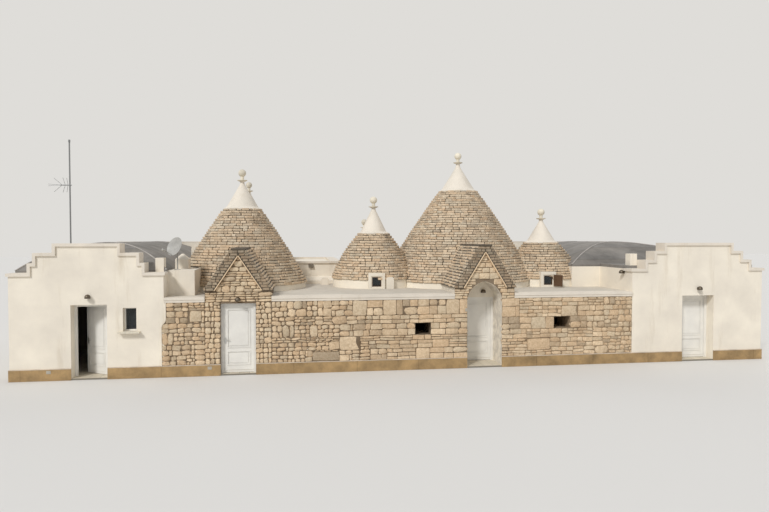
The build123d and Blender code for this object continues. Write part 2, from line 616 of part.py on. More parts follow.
def plinth():
    """A low band round the house, broken at the doors."""
    p = PLINTH_PROUD
    ends = [LEFT_X - p]
    for door in (LEFT_WING_DOOR, TRULLO_DOOR, ARCH_DOOR, RIGHT_WING_DOOR):
        ends += [door["x"], right_of(door)]
    ends.append(RIGHT_X + p)
    strips = [block(x0, x1, FRONT_Y - p, FRONT_Y, 0, PLINTH_HEIGHT) for x0, x1 in zip(ends[0::2], ends[1::2])]
    left = block(LEFT_X - p, LEFT_X, FRONT_Y, BACK_Y, 0, PLINTH_HEIGHT)
    right = block(RIGHT_X, RIGHT_X + p, FRONT_Y, BACK_Y, 0, PLINTH_HEIGHT)
    rear = block(LEFT_X - p, RIGHT_X + p, BACK_Y, BACK_Y + p, 0, PLINTH_HEIGHT)
    band = strips[0] + left + rear + right + strips[-1]
    return [band] + strips[1:-1]


# Roofs

def arc_height(half, rise, inset):
    """Height above the springing of a flat arc, at some way in from its end."""
    radius = (half * half + rise * rise) / (2 * rise)
    return rise - radius + sqrt(radius * radius - (half - inset) ** 2)


def arch_across(x0, x1, y0, y1, foot, rise):
    """A solid arch from side to side, pushed along Y."""
    spring = WING_WALL_TOP + EAVE_THICK
    def at(x, z):
        return x, y0, z

    face = make_face([
        Line(at(x0, foot), at(x0, spring)),
        ThreePointArc(at(x0, spring), at((x0 + x1) / 2, spring + rise), at(x1, spring)),
        Line(at(x1, spring), at(x1, foot)),
        Line(at(x1, foot), at(x0, foot)),
    ])
    return extrude(face, amount=y1 - y0, dir=(0, 1, 0))


def arched_ends(x0, x1, y0, y1, foot, rise, half):
    """A solid that rises in a half arch from each end, pushed along X."""
    spring = WING_WALL_TOP + EAVE_THICK
    top, quarter = spring + rise + CUT_MARGIN, spring + arc_height(half, rise, half / 2)
    def at(y, z):
        return x0, y, z

    face = make_face([
        Line(at(y0, foot), at(y0, spring)),
        ThreePointArc(at(y0, spring), at(y0 + half / 2, quarter), at(y0 + half, spring + rise)),
        Line(at(y0 + half, spring + rise), at(y0 + half, top)),
        Line(at(y0 + half, top), at(y1 - half, top)),
        Line(at(y1 - half, top), at(y1 - half, spring + rise)),
        ThreePointArc(at(y1 - half, spring + rise), at(y1 - half / 2, quarter), at(y1, spring)),
        Line(at(y1, spring), at(y1, foot)),
        Line(at(y1, foot), at(y0, foot)),
    ])
    return extrude(face, amount=x1 - x0, dir=(1, 0, 0))


def vault_solid(x0, x1, y0, y1, foot, rise):
    """A vault with four curved sides that meet on sloping hips; the end arcs run a little higher."""
    m = CUT_MARGIN
    across = arch_across(x0, x1, y0 - m, y1 + m, foot, rise)
    ends = arched_ends(x0 - m, x1 + m, y0, y1, foot - m, rise + HIP_EXTRA, (x1 - x0) / 2)
    return across & ends


def vault_roof(x0, x1, y0, y1):
    """A hollow vault on a thin eave, open below to the room under it."""
    w = OUTER_WALL_THICK
    outer = vault_solid(x0, x1, y0, y1, WING_WALL_TOP, ROOF_RISE)
    room = vault_solid(x0 + w, x1 - w, y0 + w, y1 - w, WING_WALL_TOP - CUT_MARGIN, ROOF_RISE - ROOF_THICK)
    return outer - room


def right_wing_roof():
    """The vault over the rear room and the flat roof in front of it, cut round the right cone."""
    vault = vault_roof(RIGHT_PARTY_X, RIGHT_X, SETBACK_Y, BACK_INNER_Y)
    flat = block(STONE_RIGHT_X, RIGHT_X, WING_BACK_Y, SETBACK_Y,
                 WING_WALL_TOP, WING_WALL_TOP + FLAT_ROOF_THICK)
    return vault + flat - cone_envelope(RIGHT_CONE, TERRACE_TOP)


# Porches

def roof_half(porch, z, inset):
    """Half the width between a porch roof's slopes at some height, inset from their outer faces."""
    foot = porch["width"] / 2 + PORCH_EAVE_PROUD
    flat = PORCH_TOP_FLAT / 2
    return flat + (foot - flat) * (porch["top"] - z) / (porch["top"] - porch["eave"]) - inset


def porch_outline(porch, low):
    """The porch under its roof: upright sides, two slopes and a flat top."""
    x, half, eave = porch["x"], porch["width"] / 2, porch["eave"]
    top = porch["top"] - PORCH_RIDGE_THICK
    foot_in, top_in = roof_half(porch, eave, PORCH_ROOF_THICK), roof_half(porch, top, PORCH_ROOF_THICK)
    return [
        (x - half, low), (x + half, low), (x + half, eave), (x + foot_in, eave),
        (x + top_in, top), (x - top_in, top), (x - foot_in, eave), (x - half, eave),
    ]


def roof_outline(porch, inset):
    """The outer outline of a porch roof, or one parallel to it further in, down to the eave."""
    x, eave = porch["x"], porch["eave"]
    foot, flat = roof_half(porch, eave, inset), PORCH_TOP_FLAT / 2 - inset
    if flat > 0:
        return [(x - foot, eave), (x - flat, porch["top"]), (x + flat, porch["top"]), (x + foot, eave)]
    fall = (porch["top"] - eave) / (roof_half(porch, eave, 0.0) - PORCH_TOP_FLAT / 2)
    return [(x - foot, eave), (x, porch["top"] + flat * fall), (x + foot, eave)]


def porch_roof(porch, cone):
    """Two stone slopes run back to the cone, a broad verge with a bead at the front, and a ridge slab."""
    y0 = FRONT_Y - PORCH_ROOF_PROUD
    bead_y = y0 - VERGE_BEAD_PROUD
    under = along_y(porch_outline(porch, SLAB_LOW), FRONT_Y, cone["y"])
    slopes = along_y(roof_outline(porch, 0.0), y0, cone["y"]) - under
    panel = along_y(roof_outline(porch, VERGE_WIDTH), bead_y - CUT_MARGIN, FRONT_Y)
    bead = along_y(roof_outline(porch, VERGE_WIDTH - VERGE_BEAD_WIDTH), bead_y, y0)
    half = PORCH_TOP_FLAT / 2 + RIDGE_SLAB_PROUD
    ridge = block(porch["x"] - half, porch["x"] + half, y0 - RIDGE_SLAB_PROUD, cone["y"],
                  porch["top"] - RIDGE_SLAB_THICK, porch["top"])
    return slopes + bead - panel + ridge - cone_envelope(cone, SLAB_LOW)


def porch_body(porch, cone, y0):
    return along_y(porch_outline(porch, TERRACE_TOP), y0, cone["y"]) - cone_envelope(cone, SLAB_LOW)


def arch_cut():
    """A pointed arch over the arched door's opening, through the whole stone front."""
    x0, x1 = ARCH_DOOR["x"], right_of(ARCH_DOOR)
    spring, mid = ARCH_DOOR["head"], (x0 + x1) / 2
    shoulder_in = ARCH_DOOR["width"] * ARCH_SHOULDER_IN
    shoulder = spring + ARCH_RISE * ARCH_SHOULDER_UP
    foot, y = spring - CUT_MARGIN, FRONT_Y - CUT_MARGIN
    face = make_face([
        Line((x0, y, foot), (x0, y, spring)),
        ThreePointArc((x0, y, spring), (x0 + shoulder_in, y, shoulder), (mid, y, ARCH_CROWN)),
        ThreePointArc((mid, y, ARCH_CROWN), (x1 - shoulder_in, y, shoulder), (x1, y, spring)),
        Line((x1, y, spring), (x1, y, foot)),
        Line((x1, y, foot), (x0, y, foot)),
    ])
    return extrude(face, amount=STONE_FRONT_THICK + 2 * CUT_MARGIN, dir=(0, 1, 0))


# Doors

def frame_front(door):
    return FRONT_Y + door["reveal"]


def hinge_axis(door):
    """Where a leaf turns, seen from above."""
    x = right_of(door) - JAMB_WIDTH - LEAF_GAP / 2
    y = frame_front(door) + STOP_DEPTH + STOP_GAP + LEAF_THICK + HINGE_BACK_STEP
    return x, y


def leaf_height(door):
    return door["head"] - JAMB_WIDTH - LEAF_GAP - LEAF_FOOT


def leaf_faces(door):
    """How far back the two faces of a shut leaf are."""
    front = frame_front(door) + STOP_DEPTH + STOP_GAP
    return front, front + LEAF_THICK


def hinge_heights(door):
    return [FLOOR_THICK + leaf_height(door) * share for share in HINGE_SHARES]


def door_frame(door):
    """Two jambs and a head with a stop for the leaf, and the fixed half of each hinge."""
    x0, x1, y0 = door["x"], right_of(door), frame_front(door)
    y1 = y0 + STOP_DEPTH + STOP_GAP + LEAF_THICK
    foot, stop = FLOOR_THICK - CUT_MARGIN, JAMB_WIDTH + STOP_WIDTH
    outer = block(x0, x1, y0, y1, FLOOR_THICK, door["head"])
    way = block(x0 + stop, x1 - stop, y0 - CUT_MARGIN, y1 + CUT_MARGIN, foot, door["head"] - stop)
    rebate = block(x0 + JAMB_WIDTH, x1 - JAMB_WIDTH, y0 + STOP_DEPTH, y1 + CUT_MARGIN,
                   foot, door["head"] - JAMB_WIDTH)
    frame = outer - way - rebate
    x, y = hinge_axis(door)
    for z in hinge_heights(door):
        low, seat = z - HINGE_BARREL_LENGTH / 2, z - HINGE_SEAT_GAP
        barrel = round_post(x, y, low, seat, HINGE_BARREL_R)
        pin = round_post(x, y, seat, z + HINGE_PIN_REACH, HINGE_PIN_R)
        plate = block(x, x + HINGE_LEAF_REACH, y - HINGE_BACK_STEP, y - HINGE_BACK_STEP + HINGE_PLATE_THICK,
                      low, seat)
        frame = frame + barrel + pin + plate
    return frame


def door_leaf(door):
    """A panelled leaf, built shut: two sunk panels on each face, and its half of each hinge."""
    x, y = hinge_axis(door)
    x0, x1 = door["x"] + JAMB_WIDTH + LEAF_GAP, x - LEAF_GAP / 2
    y0, y1 = leaf_faces(door)
    z1 = LEAF_FOOT + leaf_height(door)
    leaf = block(x0, x1, y0, y1, LEAF_FOOT, z1)
    for low, high in ((LEAF_FOOT + BOTTOM_RAIL, MID_RAIL_LOW), (MID_RAIL_HIGH, z1 - TOP_RAIL)):
        for face_y in (y0, y1):
            leaf = leaf - block(x0 + STILE_WIDTH, x1 - STILE_WIDTH, face_y - PANEL_SINK, face_y + PANEL_SINK,
                                low, high)
    for z in hinge_heights(door):
        top = z + HINGE_BARREL_LENGTH
        arm = block(x - HINGE_LEAF_REACH, x, y1, y1 + HINGE_PLATE_THICK, z, top)
        barrel = round_post(x, y, z, top, HINGE_BARREL_R)
        bore = round_post(x, y, z - CUT_MARGIN, top + CUT_MARGIN, HINGE_PIN_R + HINGE_PIN_PLAY)
        leaf = leaf + (arm + barrel - bore)
    return leaf


def lever(x, face_y, out):
    """A lever on a rounded plate; out is -1 or 1, the way along Y that leads off the leaf."""
    face = Plane(origin=(x, face_y, HANDLE_HEIGHT), x_dir=(1, 0, 0), z_dir=(0, out, 0))
    slot = SlotOverall(HANDLE_PLATE_LENGTH, HANDLE_PLATE_WIDTH, rotation=90)
    plate = extrude(face * Pos(0, HANDLE_DROP * out, 0) * slot, amount=HANDLE_PLATE_THICK)
    reach = HANDLE_PLATE_THICK + LEVER_STEM_LENGTH
    stem = extrude(face * Circle(LEVER_STEM_R), amount=reach)
    middle = (LEVER_LENGTH - LEVER_WIDTH) / 2
    bar = extrude(face * Pos(middle, 0, reach - LEVER_THICK) * SlotOverall(LEVER_LENGTH, LEVER_WIDTH),
                  amount=LEVER_THICK)
    return plate + stem + bar


def door_handle(door):
    """A lever on each face of the leaf."""
    x = door["x"] + JAMB_WIDTH + LEAF_GAP + HANDLE_INSET
    y0, y1 = leaf_faces(door)
    return [lever(x, y0, -1), lever(x, y1, 1)]


def swung(shape, door):
    """Turns a shut leaf, or what is on it, to where it stands at rest."""
    x, y = hinge_axis(door)
    return Pos(x, y, 0) * Rot(0, 0, -door["open"]) * Pos(-x, -y, 0) * shape


# Windows

def window_frame():
    x0, x1 = WINDOW["x"], right_of(WINDOW)
    y0 = FRONT_Y + WINDOW_REVEAL
    w = WINDOW_FRAME_WIDTH
    outer = block(x0, x1, y0, y0 + WINDOW_FRAME_DEPTH, WINDOW["low"], WINDOW["high"])
    return outer - block(x0 + w, x1 - w, y0 - CUT_MARGIN, y0 + WINDOW_FRAME_DEPTH + CUT_MARGIN,
                         WINDOW["low"] + w, WINDOW["high"] - w)


def window_glass():
    x0, x1 = WINDOW["x"], right_of(WINDOW)
    y0 = FRONT_Y + WINDOW_REVEAL + (WINDOW_FRAME_DEPTH - GLASS_THICK) / 2
    w = WINDOW_FRAME_WIDTH
    return block(x0 + w, x1 - w, y0, y0 + GLASS_THICK, WINDOW["low"] + w, WINDOW["high"] - w)


def window_sill():
    middle = WINDOW["x"] + WINDOW["width"] / 2
    return block(middle - SILL_LENGTH / 2, middle + SILL_LENGTH / 2, FRONT_Y - SILL_PROUD, FRONT_Y,
                 WINDOW["low"] - SILL_THICK, WINDOW["low"])


def roof_window_reach(cone, shift):
    """How far in front of the axis a cone's foot is, at a roof window's middle."""
    return sqrt(cone["r"] ** 2 - shift ** 2)


def roof_window_way(cone, shift, inset, y0, y1):
    """The window's opening, made smaller all round by an inset, between two depths."""
    half = ROOF_WINDOW["width"] / 2 - ROOF_WINDOW["side"] - inset
    low = TERRACE_TOP + ROOF_WINDOW["foot"] + inset
    high = TERRACE_TOP + ROOF_WINDOW["height"] - ROOF_WINDOW["head"] - inset
    x = cone["x"] + shift
    return block(x - half, x + half, y0, y1, low, high)


def roof_window_front(cone, shift):
    return cone["y"] - roof_window_reach(cone, shift) - ROOF_WINDOW_PROUD


def roof_window(cone, shift):
    """A plastered box that stands out of a cone, with an opening that steps in once."""
    x, reach = cone["x"] + shift, roof_window_reach(cone, shift)
    y0 = roof_window_front(cone, shift)
    half = ROOF_WINDOW["width"] / 2
    box = block(x - half, x + half, y0, cone["y"] - reach * ROOF_WINDOW_TAIL,
                TERRACE_TOP, TERRACE_TOP + ROOF_WINDOW["height"])
    box = box - roof_window_way(cone, shift, 0.0, y0 - CUT_MARGIN, y0 + ROOF_WINDOW_RIM_DEPTH)
    box = box - roof_window_way(cone, shift, ROOF_WINDOW_RIM, y0 - CUT_MARGIN, cone["y"])
    return box - cone_envelope(cone, SLAB_LOW)


def roof_pane(cone, shift):
    y0 = roof_window_front(cone, shift) + ROOF_PANE_DEPTH
    return roof_window_way(cone, shift, ROOF_WINDOW_RIM, y0, y0 + GLASS_THICK)


def shutter(cone, shift):
    """A board shutter that stands open on a knuckle at the right side of a roof window."""
    half, thick = ROOF_WINDOW["width"] / 2 - ROOF_WINDOW["side"], SHUTTER_THICK
    x, y = cone["x"] + shift + half, roof_window_front(cone, shift) - thick
    low = TERRACE_TOP + ROOF_WINDOW["foot"]
    high = TERRACE_TOP + ROOF_WINDOW["height"] - ROOF_WINDOW["head"]
    board = Rot(0, 0, SHUTTER_OPEN) * block(-2 * half, 0, 0, thick, low, high)
    knuckle = round_post(0, 0, low, high, SHUTTER_KNUCKLE_R)
    hinge = block(0, thick, 0, thick, low, high)
    return Pos(x, y, 0) * (board + knuckle + hinge)


def white_block():
    """A low plaster block with rounded top edges, right of the small cone's window."""
    x0 = SMALL_CONE["x"] + SMALL_WINDOW_SHIFT + ROOF_WINDOW["width"] / 2 + WHITE_BLOCK["from_window"]
    x1 = x0 + WHITE_BLOCK["width"]
    y0 = SMALL_CONE["y"] - roof_window_reach(SMALL_CONE, x0 - SMALL_CONE["x"]) - ROOF_WINDOW_PROUD
    top = TERRACE_TOP + WHITE_BLOCK["height"]
    body = block(x0, x1, y0, y0 + WHITE_BLOCK["depth"], TERRACE_TOP, top)
    edges = body.edges().group_by(Axis.Z)[-1].filter_by(Axis.Y)
    return fillet(edges, WHITE_BLOCK["round"]) - cone_envelope(SMALL_CONE, SLAB_LOW)


# Chimneys and fittings

def post_foot(post, x, low):
    """A square post behind a parapet, standing on what is below it."""
    return block(x, x + post["width"], WING_BACK_Y, WING_BACK_Y + post["depth"], low, post["top"])


def left_post(low):
    return post_foot(LEFT_POST, STONE_LEFT_X - LEFT_POST["from_stone"] - LEFT_POST["width"], low)


def mast_foot():
    """The masonry foot of the aerial mast, on the wing's side wall."""
    x, y, half = LEFT_X + MAST["from_end"], FRONT_Y + MAST["from_front"], MAST_FOOT / 2
    return block(x - half, x + half, y - half, y + half, WING_WALL_TOP, MAST_FOOT_TOP)


def chimney_stack(chimney):
    """The square stack of a chimney on the thick wall, with its corner and its top."""
    x0, y0 = STONE_LEFT_X + chimney["from_wing"], FRONT_Y + chimney["from_front"]
    top, width = RAISED_DECK_TOP + chimney["height"], chimney["width"]
    return block(x0, x0 + width, y0, y0 + width, RAISED_DECK_TOP, top), x0, y0, top


def hipped_chimney():
    """A stack under a four-sided cap that draws in to a small flat top."""
    stack, x0, y0, top = chimney_stack(HIPPED_CHIMNEY)
    width, flat = HIPPED_CHIMNEY["width"], HIPPED_CHIMNEY["flat"]
    middle = Pos(x0 + width / 2, y0 + width / 2, 0)
    cap = loft([middle * Pos(0, 0, top) * Rectangle(width, width),
                middle * Pos(0, 0, top + HIPPED_CHIMNEY["cap_rise"]) * Rectangle(flat, flat)])
    return stack + cap


def slim_chimney():
    """A stack with a half-round top."""
    stack, x0, y0, top = chimney_stack(SLIM_CHIMNEY)
    width = SLIM_CHIMNEY["width"]
    return stack + Pos(x0 + width / 2, y0 + width / 2, top) * Rot(90, 0, 0) * Cylinder(width / 2, width)


def terrace_vent():
    """A low box on the terrace under a hood with two sloping sides."""
    vent = TERRACE_VENT
    x1 = SMALL_CONE["x"] - SMALL_CONE["r"] - vent["from_cone"]
    y1 = RAISED_FRONT_Y - LEDGE_DEPTH - vent["from_ledge"]
    x0, top = x1 - vent["width"], TERRACE_TOP + vent["height"]
    inset, ridge = (vent["width"] - vent["hood_flat"]) / 2, top + vent["hood_rise"]
    outline = [
        (x0, TERRACE_TOP), (x1, TERRACE_TOP), (x1, top),
        (x1 - inset, ridge), (x0 + inset, ridge), (x0, top),
    ]
    return along_y(outline, y1 - vent["depth"], y1)


def chimneys():
    """Posts, two chimneys, a hooded vent and the mast's foot."""
    right_low = WING_WALL_TOP + FLAT_ROOF_THICK
    right = post_foot(RIGHT_POST, STONE_RIGHT_X + RIGHT_POST["from_stone"], right_low)
    return [left_post(WING_WALL_TOP), right, hipped_chimney(), slim_chimney(), terrace_vent(), mast_foot()]


def satellite_dish():
    """A pole on a foot plate, a shallow bowl that looks forward and up, and its feed on an arm."""
    x, y = STONE_LEFT_X + DISH["from_wing"], FRONT_Y + DISH["from_front"]
    top = RAISED_DECK_TOP + DISH["height"]
    half = DISH_FOOT / 2
    foot = block(x - half, x + half, y - half, y + half, RAISED_DECK_TOP, RAISED_DECK_TOP + DISH_FOOT_THICK)
    pole = round_post(x, y, RAISED_DECK_TOP, top, DISH_POLE_R)
    turn, tilt = radians(DISH_TURN), radians(DISH_TILT)
    axis = (-sin(turn) * cos(tilt), -cos(turn) * cos(tilt), sin(tilt))
    seat = Plane(origin=(x, y, top), x_dir=(cos(turn), -sin(turn), 0), z_dir=axis)
    bowl_r = (DISH_R ** 2 + DISH_DEPTH ** 2) / (2 * DISH_DEPTH)
    half_r = DISH_R / 2
    half_z = bowl_r - sqrt(bowl_r ** 2 - half_r ** 2)
    off, sheet = DISH_STAND_OFF, DISH_SHEET
    face = [(0, 0, off), (half_r, 0, off + half_z), (DISH_R, 0, off + DISH_DEPTH)]
    back = [(r, 0, z + sheet) for r, side, z in face]
    section = make_face([
        ThreePointArc(*face), Line(face[2], back[2]), ThreePointArc(*back), Line(back[0], face[0]),
    ])
    bowl = seat.location * revolve(section, Axis.Z)
    hub = seat.location * Cylinder(DISH_HUB_R, off + sheet, align=(Align.CENTER, Align.CENTER, Align.MIN))
    arm_foot = seat.from_local_coords((0, -DISH_R + 2 * FEED_ARM_R, off + DISH_DEPTH))
    feed_at = seat.from_local_coords((0, -FEED_DROP, off + FEED_REACH))
    arm = rod(tuple(arm_foot), tuple(feed_at), FEED_ARM_R)
    feed_middle = Pos(0, -FEED_DROP, off + FEED_REACH - FEED_LENGTH / 2)
    feed = seat.location * feed_middle * Cylinder(FEED_R, FEED_LENGTH)
    return foot + pole + bowl + hub + arm + feed


def aerial_mast():
    """A slim mast with a small cap, and a boom with pairs of leaning rods."""
    x, y = LEFT_X + MAST["from_end"], FRONT_Y + MAST["from_front"]
    mast = round_post(x, y, MAST_FOOT_TOP, MAST["top"], MAST["r"])
    cap = round_post(x, y, MAST["top"] - MAST_CAP_HEIGHT, MAST["top"], MAST_CAP_R)
    boom = rod((x + AERIAL_BOOM_BACK, y, AERIAL_HEIGHT), (x - AERIAL_BOOM, y, AERIAL_HEIGHT), AERIAL_BOOM_R)
    mast = mast + cap + boom
    for along, spread, lean in AERIAL_RODS:
        for side in (-spread, spread):
            start, end = (x - along, y, AERIAL_HEIGHT), (x - along - lean, y, AERIAL_HEIGHT + side)
            mast = mast + rod(start, end, AERIAL_ROD_R)
    return mast


def wall_lamp(x, y, z, turn=0.0):
    """A hollow dome that is open below, with its bulb; z is its rim, and it looks forward before its turn."""
    r, inner = LAMP_R, LAMP_R - LAMP_SHEET
    centre = -r - LAMP_OFF_WALL
    dome = round_post(0, centre, 0, LAMP_SKIRT, r) + Pos(0, centre, LAMP_SKIRT) * Sphere(r)
    hollow = round_post(0, centre, -r, LAMP_SKIRT, inner) + Pos(0, centre, LAMP_SKIRT) * Sphere(inner)
    shade = dome - hollow - block(-r, r, centre - r, centre + r, -r, 0)
    socket = round_post(0, centre, LAMP_SKIRT, LAMP_SKIRT + r - LAMP_SHEET, LAMP_SOCKET_R)
    bulb = Pos(0, centre, LAMP_SKIRT) * Sphere(LAMP_BULB_R)
    p, a = LAMP_PLATE_HALF, LAMP_ARM_HALF
    plate = block(-p, p, -LAMP_PLATE_THICK, 0, LAMP_SKIRT - p, LAMP_SKIRT + p)
    arm = block(-a, a, centre + inner, 0, LAMP_SKIRT - a, LAMP_SKIRT + a)
    return Pos(x, y, z) * Rot(0, 0, turn) * (shade + socket + bulb + plate + arm)


def floodlight():
    """A flat lamp on a short arm, tipped down, on the raised room's front."""
    x, z = RAISED_RIGHT_X - FLOOD_FROM_END, RAISED_DECK_TOP - FLOOD_DROP
    head = Rot(-FLOOD_TILT, 0, 0) * Box(FLOOD_WIDTH, FLOOD_DEPTH, FLOOD_HEIGHT)
    head = Pos(x, RAISED_FRONT_Y - FLOOD_ARM, z) * head
    half = FLOOD_DEPTH / 2
    arm = block(x - half, x + half, RAISED_FRONT_Y - FLOOD_ARM, RAISED_FRONT_Y, z - half, z + half)
    return head + arm


def lamps():
    """Lamps over the wings' and the trullo's doors, in the niche and on a side wall, and the floodlight."""
    pieces = []
    for door, y, gap, shift in (
        (LEFT_WING_DOOR, FRONT_Y, WING_LAMP_GAP, 0.0), (RIGHT_WING_DOOR, FRONT_Y, WING_LAMP_GAP, 0.0),
        (TRULLO_DOOR, FRONT_Y, TRULLO_LAMP_GAP, 0.0),
        (ARCH_DOOR, TYMPANUM_Y, NICHE_LAMP_GAP, NICHE_LAMP_SHIFT),
    ):
        pieces.append(wall_lamp(door["x"] + door["width"] / 2 + shift, y, door["head"] + gap))
    side_y = FRONT_Y + SIDE_LAMP_FROM_FRONT
    pieces.append(wall_lamp(STONE_RIGHT_X, side_y, SIDE_LAMP_HEIGHT, SIDE_LAMP_TURN))
    pieces.append(floodlight())
    return pieces


# The whole house, in groups of named parts

def left_wing():
    door = LEFT_WING_DOOR
    window = opening_through(WINDOW, WING_BACK_Y)
    outer, inner = LEFT_X + OUTER_WALL_THICK, STONE_LEFT_X - INNER_WALL_THICK
    return {
        "left_wing_left_pier": block(LEFT_X, door["x"], FRONT_Y, WING_BACK_Y, 0, door["head"]),
        "left_wing_right_pier": (block(right_of(door), STONE_LEFT_X, FRONT_Y, WING_BACK_Y, 0, door["head"])
                                 - window),
        "left_wing_parapet": wing_parapet(LEFT_X, STONE_LEFT_X, LEFT_TREADS, door) - window,
        "left_wing_side_wall": block(LEFT_X, outer, WING_BACK_Y, BACK_INNER_Y, 0, WING_WALL_TOP),
        "left_inner_wall": block(inner, STONE_LEFT_X, WING_BACK_Y, BACK_INNER_Y, 0, WING_WALL_TOP),
        "left_wing_roof": (vault_roof(LEFT_X, STONE_LEFT_X, WING_BACK_Y, BACK_INNER_Y)
                           - left_post(WING_WALL_TOP) - mast_foot()),
        "left_party_wall": left_party_wall(),
    }


def right_wing():
    door = RIGHT_WING_DOOR
    outer = RIGHT_X - OUTER_WALL_THICK
    return {
        "right_wing_left_pier": block(STONE_RIGHT_X, door["x"], FRONT_Y, WING_BACK_Y, 0, door["head"]),
        "right_wing_right_pier": block(right_of(door), RIGHT_X, FRONT_Y, WING_BACK_Y, 0, door["head"]),
        "right_wing_parapet": wing_parapet(STONE_RIGHT_X, RIGHT_X, RIGHT_TREADS, door),
        "right_wing_side_wall": block(outer, RIGHT_X, WING_BACK_Y, BACK_INNER_Y, 0, WING_WALL_TOP),
        "right_inner_wall": right_inner_wall(),
        "right_wing_roof": right_wing_roof(),
        "parapet_copings": [
            parapet_coping(LEFT_X, STONE_LEFT_X, LEFT_TREADS),
            parapet_coping(STONE_RIGHT_X, RIGHT_X, RIGHT_TREADS),
        ],
    }


def stone_front():
    """The rubble front with its two porches and the arched niche."""
    left_hole = opening_through(LEFT_WALL_HOLE, STONE_BACK_Y)
    right_hole = opening_through(RIGHT_WALL_HOLE, STONE_BACK_Y)
    spring = ARCH_DOOR["head"]
    jambs = [block(x0, x1, FRONT_Y, STONE_BACK_Y, 0, spring)
             for x0, x1 in ((ARCH_LEFT_X, ARCH_DOOR["x"]), (right_of(ARCH_DOOR), ARCH_RIGHT_X))]
    lintel = block(TRULLO_DOOR["x"], right_of(TRULLO_DOOR), FRONT_Y, KERB_BACK_Y,
                   TRULLO_DOOR["head"], KERB_TOP)
    left_face = along_y(porch_outline(LEFT_PORCH, KERB_TOP), FRONT_Y, KERB_BACK_Y)
    arch_face = along_y(porch_outline(ARCH_PORCH, spring), FRONT_Y, STONE_BACK_Y)
    tympanum = block(ARCH_DOOR["x"], right_of(ARCH_DOOR), TYMPANUM_Y, STONE_BACK_Y, spring, ARCH_CROWN)
    return {
        "front_wall_left": front_wall_piece(STONE_LEFT_X, TRULLO_DOOR["x"]),
        "front_wall_middle": front_wall_piece(right_of(TRULLO_DOOR), ARCH_LEFT_X) - left_hole,
        "front_wall_right": front_wall_piece(ARCH_RIGHT_X, STONE_RIGHT_X) - right_hole,
        "arch_jambs": jambs,
        "terrace_coping": terrace_copings(),
        "left_porch_gable": lintel + left_face + porch_body(LEFT_PORCH, LEFT_CONE, KERB_BACK_Y),
        "arch_gable": arch_face + porch_body(ARCH_PORCH, GREAT_CONE, STONE_BACK_Y) - arch_cut(),
        "porch_roofs": [porch_roof(LEFT_PORCH, LEFT_CONE), porch_roof(ARCH_PORCH, GREAT_CONE)],
        "niche_tympanum": arch_cut() & tympanum,
    }


def cones_and_drums():
    """Six cones on their drums, cut where one runs into its neighbour or into a wall."""
    great = cone_envelope(GREAT_CONE, SLAB_LOW)
    party_room = block(STONE_LEFT_X, LEFT_PARTY_X, FRONT_Y, BACK_Y, 0, RAISED_DECK_TOP)
    right_room = block(RIGHT_PARTY_X, STONE_RIGHT_X, SETBACK_Y, BACK_Y, 0, WING_WALL_TOP)
    rear_room = block(LEFT_PARTY_X, RAISED_RIGHT_X, RAISED_FRONT_Y, BACK_Y, 0, RAISED_DECK_TOP)
    wing_room = block(LEFT_X, STONE_LEFT_X, FRONT_Y, BACK_Y, 0, PARAPET_TOP)
    windows = [
        roof_window_way(cone, shift, ROOF_WINDOW_RIM, roof_window_front(cone, shift), cone["y"])
        for cone, shift in ((SMALL_CONE, SMALL_WINDOW_SHIFT), (RIGHT_CONE, RIGHT_WINDOW_SHIFT))
    ]
    cones = {
        "left_cone": (LEFT_CONE, [party_room, rear_room, wing_room]),
        "small_cone": (SMALL_CONE, [great, windows[0]]),
        "great_cone": (GREAT_CONE, []),
        "right_cone": (RIGHT_CONE, [great, right_room, windows[1]]),
        "left_rear_cone": (LEFT_REAR_CONE, []),
        "small_rear_cone": (SMALL_REAR_CONE, []),
    }
    parts, drums = {}, {}
    for name, (cone, cuts) in cones.items():
        shell, ring = cone_shell(cone), drum(cone)
        for cut in cuts:
            shell = shell - cut
            ring = ring - cut
        parts[name] = shell
        drums[name] = ring
    parts["left_drums"] = [drums["left_cone"], drums["left_rear_cone"], drums["small_rear_cone"]]
    parts["right_drums"] = drums["small_cone"] + drums["great_cone"] + drums["right_cone"]
    parts["white_caps"] = [white_cap(cone) for cone, cuts in cones.values()]
    parts["finials"] = [finial(cone) for cone, cuts in cones.values()]
    return parts


def terrace():
    left, middle, right = terrace_slabs()
    return {
        "terrace_left": left, "terrace_middle": middle, "terrace_right": right,
        "raised_room": raised_room(), "upper_copings": upper_copings(), "back_wall": back_wall(),
        "floors": floors(), "plinth": plinth(),
    }


def doors_and_windows():
    doors = {
        "left_wing_door": LEFT_WING_DOOR, "trullo_door": TRULLO_DOOR,
        "arch_door": ARCH_DOOR, "right_wing_door": RIGHT_WING_DOOR,
    }
    parts = {
        "window_frame": window_frame(),
        "window_glass": [window_glass(), roof_pane(SMALL_CONE, SMALL_WINDOW_SHIFT),
                         roof_pane(RIGHT_CONE, RIGHT_WINDOW_SHIFT)],
        "window_sill": window_sill(),
        "door_frames": [door_frame(door) for door in doors.values()],
        "roof_windows": [
            roof_window(SMALL_CONE, SMALL_WINDOW_SHIFT), roof_window(RIGHT_CONE, RIGHT_WINDOW_SHIFT),
            white_block(),
        ],
        "roof_shutter": shutter(RIGHT_CONE, RIGHT_WINDOW_SHIFT),
    }
    for name, door in doors.items():
        parts[name] = swung(door_leaf(door), door)
        parts[name + "_handle"] = [swung(piece, door) for piece in door_handle(door)]
        x, y = hinge_axis(door)
        print(name, "hinge axis", round(x, 2), round(y, 2))
    return parts


